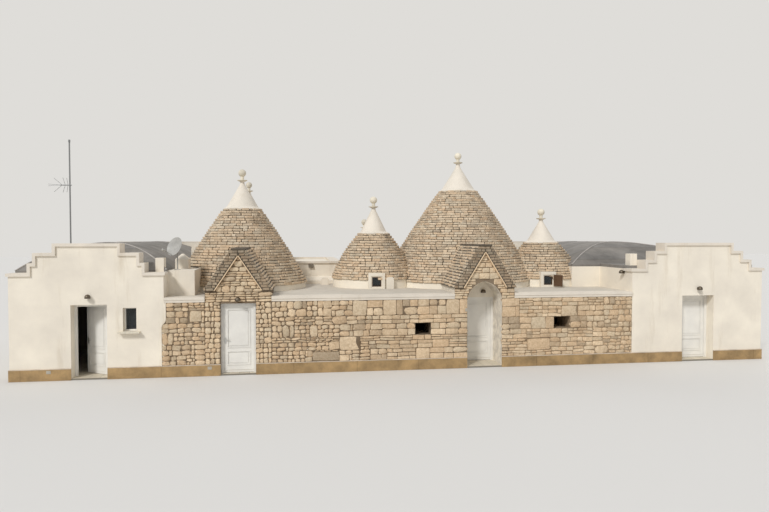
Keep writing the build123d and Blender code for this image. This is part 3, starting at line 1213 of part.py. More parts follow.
def main():
    parts = {}
    groups = [left_wing(), right_wing(), stone_front(), terrace(), cones_and_drums(), doors_and_windows()]
    for group in groups:
        parts.update(group)
    parts["chimneys"] = chimneys()
    parts["satellite_dish"] = satellite_dish()
    parts["aerial_mast"] = aerial_mast()
    parts["wall_lamps"] = lamps()
    os.makedirs("parts", exist_ok=True)
    for name, shape in parts.items():
        if isinstance(shape, list):
            shape = Compound(children=[solid for piece in shape for solid in piece.solids()])
        export_step(shape, "parts/" + name + ".step")


main()
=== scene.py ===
import json
from math import cos, hypot, pi, radians, sin, sqrt
from random import Random

import bpy
import numpy as np
from mathutils import Matrix, Vector
from mathutils.bvhtree import BVHTree


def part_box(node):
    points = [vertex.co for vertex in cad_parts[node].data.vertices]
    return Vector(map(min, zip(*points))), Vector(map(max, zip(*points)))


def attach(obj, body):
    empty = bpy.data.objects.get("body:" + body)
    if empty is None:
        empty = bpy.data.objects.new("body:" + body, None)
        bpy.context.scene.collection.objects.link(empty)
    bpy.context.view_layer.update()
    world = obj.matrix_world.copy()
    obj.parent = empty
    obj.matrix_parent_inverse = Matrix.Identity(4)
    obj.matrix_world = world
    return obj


bl_info = {
    "name": "Trullo House",
    "version": (1, 0, 0),
    "blender": (4, 5, 0),
    "location": "View3D > Sidebar > Trullo",
    "description": "Dry-stone cones, rubble walls, porches, joinery and plaster for a trullo house",
    "category": "Object",
}

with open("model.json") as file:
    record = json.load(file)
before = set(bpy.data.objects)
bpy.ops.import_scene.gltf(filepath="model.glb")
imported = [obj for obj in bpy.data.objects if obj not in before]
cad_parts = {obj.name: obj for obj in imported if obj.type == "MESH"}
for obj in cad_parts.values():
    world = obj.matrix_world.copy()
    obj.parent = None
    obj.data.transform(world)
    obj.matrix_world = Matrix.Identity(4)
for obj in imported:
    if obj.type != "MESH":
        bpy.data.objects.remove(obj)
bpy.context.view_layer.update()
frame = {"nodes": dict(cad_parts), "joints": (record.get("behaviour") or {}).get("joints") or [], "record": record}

HOUSE = "house"
DOORS = ("left_wing_door", "trullo_door", "arch_door", "right_wing_door")
CONES = ("left_cone", "small_cone", "great_cone", "right_cone", "left_rear_cone", "small_rear_cone")
# How near two places count as one, a ring's height in the CAD cones, and the record's opening margin
TOUCH, CONE_COURSE, OPENING_MARGIN = 0.002, 0.088, 0.01


# Reading the frame

def node_points(node):
    """Every corner of a CAD node, as rows of x, y and z in metres."""
    points = np.zeros(len(frame["nodes"][node].data.vertices) * 3, np.float32)
    frame["nodes"][node].data.vertices.foreach_get("co", points)
    return points.reshape(-1, 3).astype(float)


def read_cone(node):
    """A cone's axis and its rings of stone; a ring's radius is read where it ends on the next ring."""
    points = node_points(node)
    foot, cap = points[:, 2].min(), points[:, 2].max()
    top = points[points[:, 2] > cap - TOUCH]
    x, y = (top[:, :2].min(0) + top[:, :2].max(0)) / 2
    away = np.hypot(points[:, 0] - x, points[:, 1] - y)
    rings = round((cap - foot) / CONE_COURSE - TOUCH)
    height = (cap - foot) / rings
    heads = foot + height * np.arange(1, rings + 1)
    radii = [away[np.abs(points[:, 2] - head) < TOUCH].max() for head in heads]
    return {"x": x, "y": y, "foot": foot, "cap": cap, "height": height, "radii": radii}


def cone_radius(cone, z):
    """The outer radius of the ring of stone at a height, or of the last ring past either end."""
    ring = int((z - cone["foot"]) / cone["height"])
    return cone["radii"][min(max(ring, 0), len(cone["radii"]) - 1)]


def opening_box(name):
    """Left, right, foot and head of a stated opening, grown by the margin that the record leaves."""
    for opening in frame["record"]["physics"]["openings"]:
        if opening["name"] == name:
            low, high = opening["box_m"]
            return (low[0] - OPENING_MARGIN, high[0] + OPENING_MARGIN,
                    low[2] - OPENING_MARGIN, high[2] + OPENING_MARGIN)
    raise ValueError("the record has no opening named " + name)


def joint_of(door):
    """The frame's joint that a door hangs on."""
    for joint in frame["joints"]:
        if joint["name"] == door + "_hinge":
            return joint
    raise ValueError("the record has no hinge for " + door)


def shut_turn(door):
    """The turn that takes a door's leaf from its shut place to where it stands at rest."""
    joint = joint_of(door)
    pivot = Vector((joint["pos_m"][0], joint["pos_m"][1], 0))
    turn = Matrix.Rotation(radians(joint["range_deg"][0]), 4, "Z")
    return Matrix.Translation(pivot) @ turn @ Matrix.Translation(-pivot)


def shut_box(door):
    """Lowest and highest corner of a leaf as it is when shut."""
    back = np.array(shut_turn(door).inverted())
    points = node_points(door) @ back[:3, :3].T + back[:3, 3]
    return points.min(0), points.max(0)


# Places that the CAD model gives

LEFT_WALL, MIDDLE_WALL, RIGHT_WALL = (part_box("front_wall_" + part) for part in ("left", "middle", "right"))
JAMBS, TYMPANUM, PLINTH, LEFT_PORCH = (
    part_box(node) for node in ("arch_jambs", "niche_tympanum", "plinth", "left_porch_gable"))
FRONT = LEFT_WALL[0].y
STONE_LEFT, STONE_RIGHT = LEFT_WALL[0].x, RIGHT_WALL[1].x
TRULLO_LEFT, TRULLO_RIGHT = LEFT_WALL[1].x, MIDDLE_WALL[0].x
ARCH_LEFT, ARCH_RIGHT = JAMBS[0].x, JAMBS[1].x
NICHE_LEFT, NICHE_RIGHT = TYMPANUM[0].x, TYMPANUM[1].x
ARCH_SPRING, ARCH_CROWN = JAMBS[1].z, TYMPANUM[1].z
PLINTH_TOP, KERB_TOP, TERRACE_TOP = PLINTH[1].z, LEFT_WALL[1].z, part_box("terrace_coping")[1].z
# The stones run past the stone front's own end, as far as the left wing's plaster
PLASTER_EDGE = STONE_LEFT - 0.07
BACKDROP = "DFDDD9"


# Settings that a user would change

def metres(name, description, default):
    """A length."""
    return bpy.props.FloatProperty(name=name, description=description, default=default, unit="LENGTH")


def metre_pair(name, description, default):
    """A least and a most length."""
    return bpy.props.FloatVectorProperty(
        name=name, description=description, size=2, default=default, unit="LENGTH")


def hex_text(name, description, default):
    """A colour, as sRGB hex."""
    return bpy.props.StringProperty(name=name, description=description + ", as sRGB hex", default=default)


class ConeSettings(bpy.types.PropertyGroup):
    length: metres("Slab length", "Usual length of a slab along its ring", 0.23)
    depth: metres("Slab depth", "How far a slab reaches into the cone", 0.15)
    proud: metres("Stand-out", "How far the slabs stand out of the cone's rings", 0.016)
    joint: metres("Joint", "Open joint between two slabs", 0.01)


class WallSettings(bpy.types.PropertyGroup):
    course: metre_pair("Lifts", "Least and most height of a lift of stones", (0.24, 0.36))
    round_length: metre_pair("Rubble lengths", "Least and most length of the rounded rubble", (0.11, 0.27))
    square_length: metre_pair("Block lengths", "Least and most length of the squared blocks", (0.2, 0.5))
    joint: metres("Joint", "Mortar joint between the stones", 0.016)
    depth: metres("Stone depth", "Depth of a stone, most of it in the wall", 0.12)
    proud: metres("Stand-out", "How far the stones stand out of the mortar", 0.032)
    band: metres("Plaster band", "Height of the smooth band under the coping", 0.075)
    edge_step: metres("Plaster edge", "How far the left wing's plaster laps over the stones high up", 0.12)
    edge_height: metres("Plaster step", "Height above which the plaster laps over the stones", 1.56)


class PorchSettings(bpy.types.PropertyGroup):
    eave: metres("Eave height", "Where the porch roofs begin", 2.5)
    flat: metres("Top width", "Width of the roofs' flat top", 0.37)
    eave_proud: metres("Eave overhang", "How far the roof passes the porch's side", 0.05)
    ridge: metres("Ridge thickness", "From the masonry's top to the roof's top", 0.13)
    verge: metres("Verge width", "Level width of the stone verge with its bead", 0.34)
    bead: metres("Bead width", "Level width of the thin bead inside the verge", 0.028)
    bead_proud: metres("Bead stand-out", "How far the bead stands out of the verge", 0.038)
    course: metres("Course height", "Height of a course of roof slabs", 0.084)


class ColourSettings(bpy.types.PropertyGroup):
    plaster: hex_text("Limewash", "Limewashed walls", "EFE6D6")
    rubble: hex_text("Rubble", "Limestone of the front", "DDC7A8")
    slabs: hex_text("Roof slabs", "Dry slabs of the cones", "E6D4BA")
    plinth: hex_text("Plinth", "Ochre plinth", "A98C62")
    membrane: hex_text("Roof covering", "Vaults' covering", "7F7B76")
    paint: hex_text("Door paint", "White paint of the joinery", "EDEAE2")


class StageSettings(bpy.types.PropertyGroup):
    eye: bpy.props.FloatVectorProperty(
        name="Eye", description="Place of the camera", size=3, default=(-3.645, -23.447, 4.017),
        unit="LENGTH", subtype="XYZ")
    pitch: bpy.props.FloatProperty(
        name="Pitch down", description="How far the camera looks down", default=radians(1.628),
        unit="ROTATION")
    turn: bpy.props.FloatProperty(
        name="Turn right", description="How far the camera looks to the right", default=radians(8.148),
        unit="ROTATION")
    focal: bpy.props.FloatProperty(
        name="Focal length", description="Lens on a 36 mm sensor, in millimetres", default=28.09,
        unit="CAMERA")
    floor: metres("Floor size", "Side of the pale floor", 240.0)


class TrulloSettings(bpy.types.PropertyGroup):
    cones: bpy.props.PointerProperty(type=ConeSettings, name="Cones", description="Dry-stone cones")
    wall: bpy.props.PointerProperty(type=WallSettings, name="Wall", description="Rubble front")
    porch: bpy.props.PointerProperty(type=PorchSettings, name="Porches", description="Gabled porches")
    colours: bpy.props.PointerProperty(type=ColourSettings, name="Colours", description="Main colours")
    stage: bpy.props.PointerProperty(type=StageSettings, name="Stage", description="Camera and floor")


# Materials

def hex_colour(text, alpha=1.0):
    """An sRGB hex colour as the linear colour that a shader takes."""
    channels = [int(text[i:i + 2], 16) / 255 for i in (0, 2, 4)]
    linear = [c / 12.92 if c <= 0.04045 else ((c + 0.055) / 1.055) ** 2.4 for c in channels]
    return (*linear, alpha)


def shade(text, factor, warm=1.0):
    """A hex colour made lighter or darker by a factor, and warmer over 1 or greyer under it."""
    channels = [int(text[i:i + 2], 16) * factor * gain for i, gain in ((0, warm), (2, 1.0), (4, 1 / warm))]
    return "".join("%02X" % min(255, max(0, round(c))) for c in channels)


def per(millimetres):
    """The scale that makes one turn of a pattern on Object coordinates this long."""
    return 1000.0 / millimetres


def place_stops(elements, stops):
    """Sets a ramp's stops; each is a place from 0 to 1 and a hex colour."""
    while len(elements) < len(stops):
        elements.new(0.5)
    for element, (place, colour) in zip(elements, stops):
        element.position = place
        element.color = hex_colour(colour)


def add_node(tree, kind, settings=None, links=None):
    """Adds a shader node with its properties, sockets or stops and its links, and returns its outputs."""
    node = tree.nodes.new(kind)
    for key, value in (settings or {}).items():
        if key == "stops":
            place_stops(node.color_ramp.elements, value)
        elif isinstance(key, str) and key not in node.inputs:
            setattr(node, key, value)
        else:
            node.inputs[key].default_value = value
    for key, source in (links or {}).items():
        tree.links.new(source, node.inputs[key])
    return node.outputs


def new_material(name, colour, roughness, metallic=0.0, ior=1.5):
    """A material with one principled shader; returns it with its tree, shader and Object coordinates."""
    material = bpy.data.materials.new(name)
    material.use_nodes = True
    tree = material.node_tree
    shader = tree.nodes["Principled BSDF"]
    shader.inputs["Base Color"].default_value = hex_colour(colour)
    shader.inputs["Roughness"].default_value = roughness
    shader.inputs["Metallic"].default_value = metallic
    if metallic == 0.0:
        shader.inputs["IOR"].default_value = ior
    return material, tree, shader, add_node(tree, "ShaderNodeTexCoord")["Object"]


def patches(tree, coords, size, detail, rough, *stops):
    """Clouds of colour of a size in millimetres, coloured by stops."""
    clouds = add_node(tree, "ShaderNodeTexNoise",
                      {"Scale": per(size), "Detail": detail, "Roughness": rough}, {"Vector": coords})
    return add_node(tree, "ShaderNodeValToRGB", {"stops": stops}, {"Fac": clouds["Fac"]})["Color"]


def paint(tree, shader, base, *layers):
    """Colours a surface: a base, and patterns multiplied over it in turn, each by its share."""
    for share, layer in layers:
        base = add_node(tree, "ShaderNodeMix", {"data_type": "RGBA", "blend_type": "MULTIPLY", 0: share},
                        {6: base, 7: layer})[2]
    tree.links.new(base, shader.inputs["Base Color"])


def relief(tree, shader, coords, size, detail, rough, distance, strength):
    """Raises a surface by clouds of a size in millimetres; distance is their height in metres."""
    clouds = add_node(tree, "ShaderNodeTexNoise",
                      {"Scale": per(size), "Detail": detail, "Roughness": rough}, {"Vector": coords})
    raised = add_node(tree, "ShaderNodeBump", {"Strength": strength, "Distance": distance},
                      {"Height": clouds["Fac"]})
    tree.links.new(raised["Normal"], shader.inputs["Normal"])


def limewash(name, colour):
    """Lime plaster with limewash, trowelled: matte, faintly uneven, with soft rain marks."""
    material, tree, shader, coords = new_material(name, colour, 0.9)
    cloud = patches(tree, coords, 900, 5, 0.55, (0.3, shade(colour, 0.95)), (0.7, shade(colour, 1.02)))
    streaks = add_node(tree, "ShaderNodeMapping", {"Scale": (1.0, 1.0, 0.14)}, {"Vector": coords})["Vector"]
    rain = patches(tree, streaks, 330, 6, 0.65, (0.56, "FFFFFF"), (0.78, "CFC4B2"))
    paint(tree, shader, cloud, (0.42, rain))
    relief(tree, shader, coords, 140, 6, 0.6, 0.006, 0.5)
    return material


def limestone(name, colour, lichen=0.25, spread=0.17):
    """Split limestone: every stone has its own tone, ochre to grey, with pits and dark weathering."""
    material, tree, shader, coords = new_material(name, colour, 0.92)
    island = add_node(tree, "ShaderNodeNewGeometry")["Random Per Island"]
    tones = ((0.0, shade(colour, 1 - spread)), (0.25, shade(colour, 0.97, warm=1.03)), (0.5, colour),
             (0.65, shade(colour, 0.98, warm=0.985)), (0.8, shade(colour, 1 + spread * 0.4)),
             (1.0, shade(colour, 1 - spread * 0.5, warm=1.04)))
    tone = add_node(tree, "ShaderNodeValToRGB", {"stops": tones}, {"Fac": island})["Color"]
    grain = patches(tree, coords, 55, 8, 0.65, (0.3, "B9A88E"), (0.62, "FFFFFF"))
    weather = patches(tree, coords, 620, 7, 0.7, (0.5, "FFFFFF"), (0.75, "857C70"))
    paint(tree, shader, tone, (0.55, grain), (lichen, weather))
    relief(tree, shader, coords, 110, 9, 0.72, 0.03, 0.8)
    return material


def smooth_stone(name, colour):
    """Dressed limestone, rubbed smooth: fine grain and a few stains."""
    material, tree, shader, coords = new_material(name, colour, 0.8)
    stain = patches(tree, coords, 420, 6, 0.6, (0.35, shade(colour, 0.86)), (0.65, shade(colour, 1.03)))
    paint(tree, shader, stain)
    relief(tree, shader, coords, 18, 6, 0.6, 0.003, 0.5)
    return material


def mortar(name, colour):
    """Lime mortar brushed back between stones: sandy, with grit of a few millimetres drawn at 12 mm."""
    material, tree, shader, coords = new_material(name, colour, 0.95)
    sand = patches(tree, coords, 12, 6, 0.7, (0.3, shade(colour, 0.7)), (0.7, shade(colour, 1.08)))
    damp = patches(tree, coords, 700, 4, 0.55, (0.35, "B7A68C"), (0.65, "FFFFFF"))
    paint(tree, shader, sand, (0.6, damp))
    relief(tree, shader, coords, 26, 6, 0.55, 0.01, 0.8)
    return material


def niche_stone(name, front, side):
    """Mortar on the face that carries stones, and limewash on the faces that turn into the niche."""
    material, tree, shader, coords = new_material(name, front, 0.93)
    normal = add_node(tree, "ShaderNodeNewGeometry")["Normal"]
    across = add_node(tree, "ShaderNodeSeparateXYZ", links={"Vector": normal})["Y"]
    facing = add_node(tree, "ShaderNodeMath", {"operation": "LESS_THAN", 1: -0.6}, {0: across})[0]
    wash = patches(tree, coords, 240, 7, 0.65, (0.34, shade(side, 0.84)), (0.6, side))
    sand = patches(tree, coords, 12, 6, 0.7, (0.3, shade(front, 0.7)), (0.7, shade(front, 1.08)))
    paint(tree, shader, add_node(tree, "ShaderNodeMix", {"data_type": "RGBA"},
                                 {0: facing, 6: wash, 7: sand})[2])
    relief(tree, shader, coords, 90, 7, 0.65, 0.014, 0.7)
    return material


def membrane(name, colour):
    """Mineral felt laid in strips 1 m wide: gritty, dull, with lapped edges and bleached patches."""
    material, tree, shader, coords = new_material(name, colour, 0.88)
    strip = add_node(tree, "ShaderNodeTexWave", {
        "wave_type": "BANDS", "bands_direction": "Y", "wave_profile": "SAW", "Scale": per(1000) * pi / 10,
        "Distortion": 0.15, "Detail": 1.0}, {"Vector": coords})["Fac"]
    lap = add_node(tree, "ShaderNodeValToRGB",
                   {"stops": ((0.0, "8F877C"), (0.05, "FFFFFF"), (0.97, "F4F0E8"))}, {"Fac": strip})["Color"]
    patch = patches(tree, coords, 1300, 7, 0.65, (0.32, shade(colour, 0.82)), (0.7, shade(colour, 1.22)))
    paint(tree, shader, patch, (0.6, lap))
    relief(tree, shader, coords, 16, 5, 0.7, 0.003, 0.5)
    return material


def plinth_render(name, colour):
    """Ochre stone slabs about 1.9 m long, worn in patches, with fine joints."""
    material, tree, shader, coords = new_material(name, colour, 0.85)
    along = add_node(tree, "ShaderNodeSeparateXYZ", links={"Vector": coords})["X"]
    wave = add_node(tree, "ShaderNodeMath", {"operation": "PINGPONG", 1: 0.95}, {0: along})[0]
    joint = add_node(tree, "ShaderNodeValToRGB", {"stops": ((0.0, "6E5C45"), (0.006, "FFFFFF"))},
                     {"Fac": wave})["Color"]
    tone = patches(tree, coords, 380, 7, 0.65, (0.3, shade(colour, 0.8)), (0.7, shade(colour, 1.1)))
    paint(tree, shader, tone, (0.9, joint))
    relief(tree, shader, coords, 22, 6, 0.6, 0.004, 0.5)
    return material


def painted_timber(name, colour):
    """Painted softwood, brushed: satin, with brush marks a few millimetres wide drawn at 9 mm."""
    material, tree, shader, coords = new_material(name, colour, 0.42)
    stretch = add_node(tree, "ShaderNodeMapping", {"Scale": (1.0, 1.0, 0.06)}, {"Vector": coords})["Vector"]
    tone = patches(tree, coords, 500, 5, 0.55, (0.3, shade(colour, 0.95)), (0.7, shade(colour, 1.01)))
    paint(tree, shader, tone)
    relief(tree, shader, stretch, 9, 3, 0.55, 0.001, 0.35)
    return material


def floor_tiles(name, colour):
    """Pale stone tiles 300 mm square with narrow joints."""
    material, tree, shader, coords = new_material(name, colour, 0.5)
    tiles = add_node(tree, "ShaderNodeTexBrick", {
        "offset": 0.0, "Color1": hex_colour(colour), "Color2": hex_colour(shade(colour, 0.94)),
        "Mortar": hex_colour(shade(colour, 0.6)), "Scale": 1.0, "Mortar Size": 0.004,
        "Brick Width": 0.3, "Row Height": 0.3}, {"Vector": coords})
    paint(tree, shader, tiles["Color"])
    return material


def metal(name, colour, roughness):
    """Bare metal, dulled outdoors: small changes of gloss."""
    material, tree, shader, coords = new_material(name, colour, roughness, metallic=1.0)
    clouds = add_node(tree, "ShaderNodeTexNoise", {"Scale": per(60), "Detail": 5, "Roughness": 0.55},
                      {"Vector": coords})
    dull = add_node(tree, "ShaderNodeMapRange", {"To Min": roughness - 0.08, "To Max": roughness + 0.12},
                    {"Value": clouds["Fac"]})
    tree.links.new(dull["Result"], shader.inputs["Roughness"])
    return material


def dish_enamel(name, colour):
    """Powder-coated steel, faded: dull, with faint uneven patches."""
    material, tree, shader, coords = new_material(name, colour, 0.5)
    paint(tree, shader, patches(tree, coords, 160, 6, 0.7, (0.35, shade(colour, 0.86)), (0.65, colour)))
    return material


def window_pane(name):
    """Clear float glass with a sharp shine; its dark grey, partly opaque tint is painted shade of the dark room
    behind it.
    """
    # The dark base colour with part alpha paints the room's shade onto the pane.
    material, _, shader, _ = new_material(name, "2A2F31", 0.05, ior=1.52)
    shader.inputs["Alpha"].default_value = 0.62
    return material


def finishes():
    """Every finish of the house by name, made once."""
    c = bpy.context.scene.trullo.colours
    return {
        "limewash": limewash("Limewash", c.plaster),
        "drum_wash": limewash("Drum limewash", shade(c.plaster, 1.03)),
        "cap_wash": limewash("Cap limewash", shade(c.plaster, 0.97)),
        "rubble": limestone("Rubble limestone", c.rubble, 0.32, 0.18),
        "porch_rubble": limestone("Washed rubble", shade(c.rubble, 1.04, 0.99), 0.2, 0.12),
        "slabs": limestone("Dry limestone slabs", c.slabs, 0.36, 0.13),
        # The verge slabs are coloured darker than the other slabs and carry more weathering spots.
        "verge_slabs": limestone("Weathered verge slabs", shade(c.slabs, 0.73, 1.02), 0.45, 0.16),
        # The ridge slabs are coloured at under half the tone of the other slabs.
        "ridge_slabs": limestone("Blackened ridge slabs", shade(c.slabs, 0.45), 0.5, 0.14),
        "bead": limewash("Plaster bead", shade(c.rubble, 1.02, 1.02)),
        "core": mortar("Shaded cone core", shade(c.slabs, 0.48)),
        "mortar": mortar("Lime mortar", shade(c.rubble, 0.62, 1.03)),
        "flush_mortar": mortar("Flush lime mortar", shade(c.rubble, 0.8, 1.02)),
        "niche": niche_stone("Niche stone", shade(c.rubble, 0.62, 1.03), c.plaster),
        "dressed": smooth_stone("Dressed limestone", "E8DFCC"),
        "coping": limewash("Coping limewash", shade(c.plaster, 0.95)),
        "terrace": limewash("Terrace lime screed", shade(c.plaster, 0.86)),
        "membrane": membrane("Mineral roofing felt", c.membrane),
        "seam": smooth_stone("Bleached seam strip", shade(c.membrane, 1.45)),
        "plinth": plinth_render("Ochre plinth stone", c.plinth),
        # The plinth ledge's pale cream is a painted highlight along the plinth's top edge.
        "ledge": smooth_stone("Plinth ledge", shade(c.plaster, 0.88, 1.03)),
        "tiles": floor_tiles("Floor tiles", "D8CDB8"),
        "paint": painted_timber("Painted timber", c.paint),
        "handle": metal("Satin aluminium", "C9C8C4", 0.32),
        "steel": metal("Galvanised steel", "8F9090", 0.45),
        "lamp": metal("Bronzed aluminium", "6B6256", 0.42),
        "dish": dish_enamel("Faded dish enamel", "B9B7B1"),
        "glass": window_pane("Window glass"),
        "socket": dish_enamel("Grey socket plastic", "BDB6A8"),
        "boards": painted_timber("Brown painted boards", "5E4532"),
    }


FINISHES = {}


def finish(obj, name):
    """Gives an object one finish, in every material slot it has."""
    if not obj.data.materials:
        obj.data.materials.append(FINISHES[name])
    for index in range(len(obj.data.materials)):
        obj.data.materials[index] = FINISHES[name]


# Modelling tools

def deselect():
    """Goes back to object mode with nothing selected."""
    if bpy.context.mode != "OBJECT":
        bpy.ops.object.mode_set(mode="OBJECT")
    bpy.ops.object.select_all(action="DESELECT")


def pick(*objects):
    """Selects these objects only and makes the first one active."""
    deselect()
    for obj in objects:
        obj.select_set(True)
    bpy.context.view_layer.objects.active = objects[0]


def edit_all(obj):
    """Opens a piece in edit mode with all of it selected."""
    pick(obj)
    bpy.ops.object.mode_set(mode="EDIT")
    bpy.ops.mesh.select_all(action="SELECT")


def apply_place(obj):
    """Moves an object's place, turn and scale into its mesh."""
    pick(obj)
    bpy.ops.object.transform_apply(location=True, rotation=True, scale=True)


def apply_modifiers(obj):
    """Makes an object's modifiers part of its mesh, from first to last."""
    pick(obj)
    for modifier in list(obj.modifiers):
        bpy.ops.object.modifier_apply(modifier=modifier.name)


def smooth(obj, degrees):
    """Shades a piece smooth wherever its faces meet at less than an angle."""
    pick(obj)
    bpy.ops.object.shade_smooth_by_angle(angle=radians(degrees))


def roughen(obj, *waves):
    """Pushes a piece's corners about by cloud patterns, each with a size, a strength and a direction."""
    for size, strength, direction in waves:
        texture = bpy.data.textures.new("unevenness", "CLOUDS")
        texture.noise_scale = size
        texture.noise_depth = 2
        modifier = obj.modifiers.new("unevenness", "DISPLACE")
        modifier.texture = texture
        modifier.texture_coords = "LOCAL"
        modifier.direction = direction
        modifier.strength = strength
        modifier.mid_level = 0.5
    apply_modifiers(obj)


def settle(obj, name, look, body=HOUSE):
    """Names a finished piece, gives it its finish, and sets it to ride on its body."""
    obj.name = name
    obj.data.name = name
    finish(obj, look)
    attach(obj, body)


def bar(low, high, bevel=0.0):
    """A straight bar between two corners, with its edges eased."""
    deselect()
    middle = [(a + b) / 2 for a, b in zip(low, high)]
    bpy.ops.mesh.primitive_cube_add(size=1, location=middle)
    obj = bpy.context.object
    obj.scale = [b - a for a, b in zip(low, high)]
    apply_place(obj)
    if bevel:
        edit_all(obj)
        bpy.ops.mesh.bevel(offset=bevel, segments=1, affect="EDGES")
        bpy.ops.object.mode_set(mode="OBJECT")
    return obj


def joined(objects):
    """Joins objects into the first of them."""
    pick(*objects)
    if len(objects) > 1:
        bpy.ops.object.join()
    return bpy.context.object


def stone_pattern(seed, rough, ease, cuts=0, swell=0.0):
    """One stone in a unit box: a cube that is eased at its edges, cut, swelled and made uneven."""
    deselect()
    bpy.ops.mesh.primitive_cube_add(size=1)
    stone = bpy.context.object
    edit_all(stone)
    bpy.ops.mesh.bevel(offset=ease, segments=1, affect="EDGES")
    if cuts:
        bpy.ops.mesh.select_all(action="SELECT")
        bpy.ops.mesh.subdivide(number_cuts=cuts, smoothness=0.0)
    if swell:
        bpy.ops.transform.tosphere(value=swell)
    bpy.ops.transform.vertex_random(offset=rough, uniform=0.4, seed=seed)
    bpy.ops.object.mode_set(mode="OBJECT")
    return stone


def laid(pattern, place, size, turn=None):
    """A copy of a stone with its own mesh, laid at a place with its size and turn."""
    copy = pattern.copy()
    copy.data = pattern.data.copy()
    matrix = Matrix.Translation(place) @ (turn or Matrix.Identity(4)) @ Matrix.Diagonal((*size, 1.0))
    copy.data.transform(matrix)
    bpy.context.scene.collection.objects.link(copy)
    return copy


def drop(objects):
    """Deletes the stones that the others were copied from."""
    for obj in objects:
        bpy.data.objects.remove(obj)


# Cones

# Slabs: lengths as shares of the usual one, heights as shares of the ring's, unevenness, turn, tilt
SLAB_LENGTHS, SLAB_HEIGHTS = (0.55, 1.5), (0.84, 0.98)
SLAB_UNEVEN, SLAB_TURN, SLAB_TILT = 0.022, 0.06, 0.04
# A ring's last slab closes it when this many times its length would pass the first one
LAST_SLAB = 1.4
# A look at the ring's face starts this far out of it and goes this far in
LOOK_FROM, LOOK_ALONG = 0.4, 0.6
# The skirts' height over the cap's foot, their reach under it, their lip and their thickness
SKIRT_HIGH, SKIRT_LOW, SKIRT_LIP, SKIRT_THICK = 0.085, 0.02, 0.016, 0.02


def face_tree(node):
    """A CAD node's faces in a tree, to find where a line meets them."""
    mesh = frame["nodes"][node].data
    return BVHTree.FromPolygons([v.co for v in mesh.vertices], [p.vertices for p in mesh.polygons])


def lay_cone(node, settings, patterns, rng):
    """Slabs round every ring of a cone; a slab is laid only where the ring is not cut away."""
    cone, shell = read_cone(node), face_tree(node)
    height = cone["height"]
    slabs = []
    for ring, radius in enumerate(cone["radii"]):
        centre = Vector((cone["x"], cone["y"], cone["foot"] + (ring + 0.5) * height))
        angle, end = rng.uniform(0, 2 * pi), 0.0
        while end < 2 * pi:
            wide = settings.length * rng.uniform(*SLAB_LENGTHS) / radius
            if end + wide * LAST_SLAB > 2 * pi:
                wide = 2 * pi - end
            middle = angle + end + wide / 2
            end += wide
            out = Vector((cos(middle), sin(middle), 0))
            if shell.ray_cast(centre + out * (radius + LOOK_FROM), -out, LOOK_ALONG)[0] is None:
                continue
            face_at = radius + settings.proud + rng.uniform(0.0, SLAB_UNEVEN)
            size = (settings.depth, wide * radius - settings.joint, height * rng.uniform(*SLAB_HEIGHTS))
            turn = Matrix.Rotation(middle + rng.uniform(-SLAB_TURN, SLAB_TURN), 4, "Z")
            turn = turn @ Matrix.Rotation(rng.uniform(-SLAB_TILT, SLAB_TILT), 4, "X")
            place = centre + out * (face_at - settings.depth / 2)
            slabs.append(laid(rng.choice(patterns), place, size, turn))
    return slabs


def cap_skirt(cone, settings):
    """The plaster that runs from a white cap down over the top ring's slabs and ends in a thin lip."""
    last, before = cone["radii"][-1], cone["radii"][-2]
    edge = last - (before - last) * (1 + SKIRT_HIGH / cone["height"])
    middle = cone["cap"] + (SKIRT_HIGH - SKIRT_LOW) / 2
    deselect()
    bpy.ops.mesh.primitive_cone_add(
        vertices=72, radius1=last + settings.proud + SKIRT_LIP, radius2=edge, depth=SKIRT_HIGH + SKIRT_LOW,
        end_fill_type="NOTHING", location=(cone["x"], cone["y"], middle))
    skirt = bpy.context.object
    apply_place(skirt)
    edit_all(skirt)
    bpy.ops.mesh.subdivide(number_cuts=2)
    bpy.ops.object.mode_set(mode="OBJECT")
    thick = skirt.modifiers.new("thickness", "SOLIDIFY")
    thick.thickness = SKIRT_THICK
    thick.offset = -1
    apply_modifiers(skirt)
    return skirt


class TRULLO_OT_cones(bpy.types.Operator):
    """Lays the dry-stone slabs of the six cones and the plaster skirts under their caps"""
    bl_idname = "trullo.cones"
    bl_label = "Cones"

    def execute(self, context):
        settings = context.scene.trullo.cones
        patterns = [stone_pattern(seed, rough=0.06, ease=0.1) for seed in range(6)]
        for seed, node in enumerate(CONES):
            slabs = joined(lay_cone(node, settings, patterns, Random(seed)))
            roughen(slabs, (0.12, 0.022, "NORMAL"))
            settle(slabs, node + "_slabs", "slabs")
        drop(patterns)
        skirts = joined([cap_skirt(read_cone(node), settings) for node in CONES])
        roughen(skirts, (0.3, 0.012, "NORMAL"))
        smooth(skirts, 50)
        settle(skirts, "cap_skirts", "cap_wash")
        return {"FINISHED"}


# Rubble front

# Where the stones turn from rounded to squared along the front, and where they turn rough again
SQUARED_FROM, SQUARED_BY, LUMPY_FROM = -3.4, -1.2, 4.9
# Shares of squared stones: left of the porch, at the porch's foot and on the porches' fronts
ROUNDED, SMALL_LUMPS, PARTLY_SQUARED = 0.08, -0.3, 0.25
# Least and most share between the porches, the share right of the arch, and its loss per metre at the end
LEAST_SQUARED, MOST_SQUARED, RIGHT_SQUARED, SQUARED_LOSS = 0.05, 0.92, 0.8, 0.5
# The front's largest blocks: left, right, bottom and top
LARGE_BLOCKS = ((-6.79, -6.46, 1.6, 1.92), (-3.23, -2.44, 0.35, 0.63), (-2.43, -1.8, 0.65, 1.07),
                (3.49, 4.25, 0.51, 0.87))
# Odds of one, two or three rows in a bay of a wall and of a porch's front; rounded stones' part of the first
WALL_ROWS, PANEL_ROWS, TALL_ODDS = (0.14, 0.6, 0.26), (0.5, 0.5, 0.0), 0.3
# A bay's least and most length and a tall stone's most, as shares of the longest stone's length
BAY_LEAST, BAY_MOST, TALL_MOST = 0.8, 2.2, 1.25
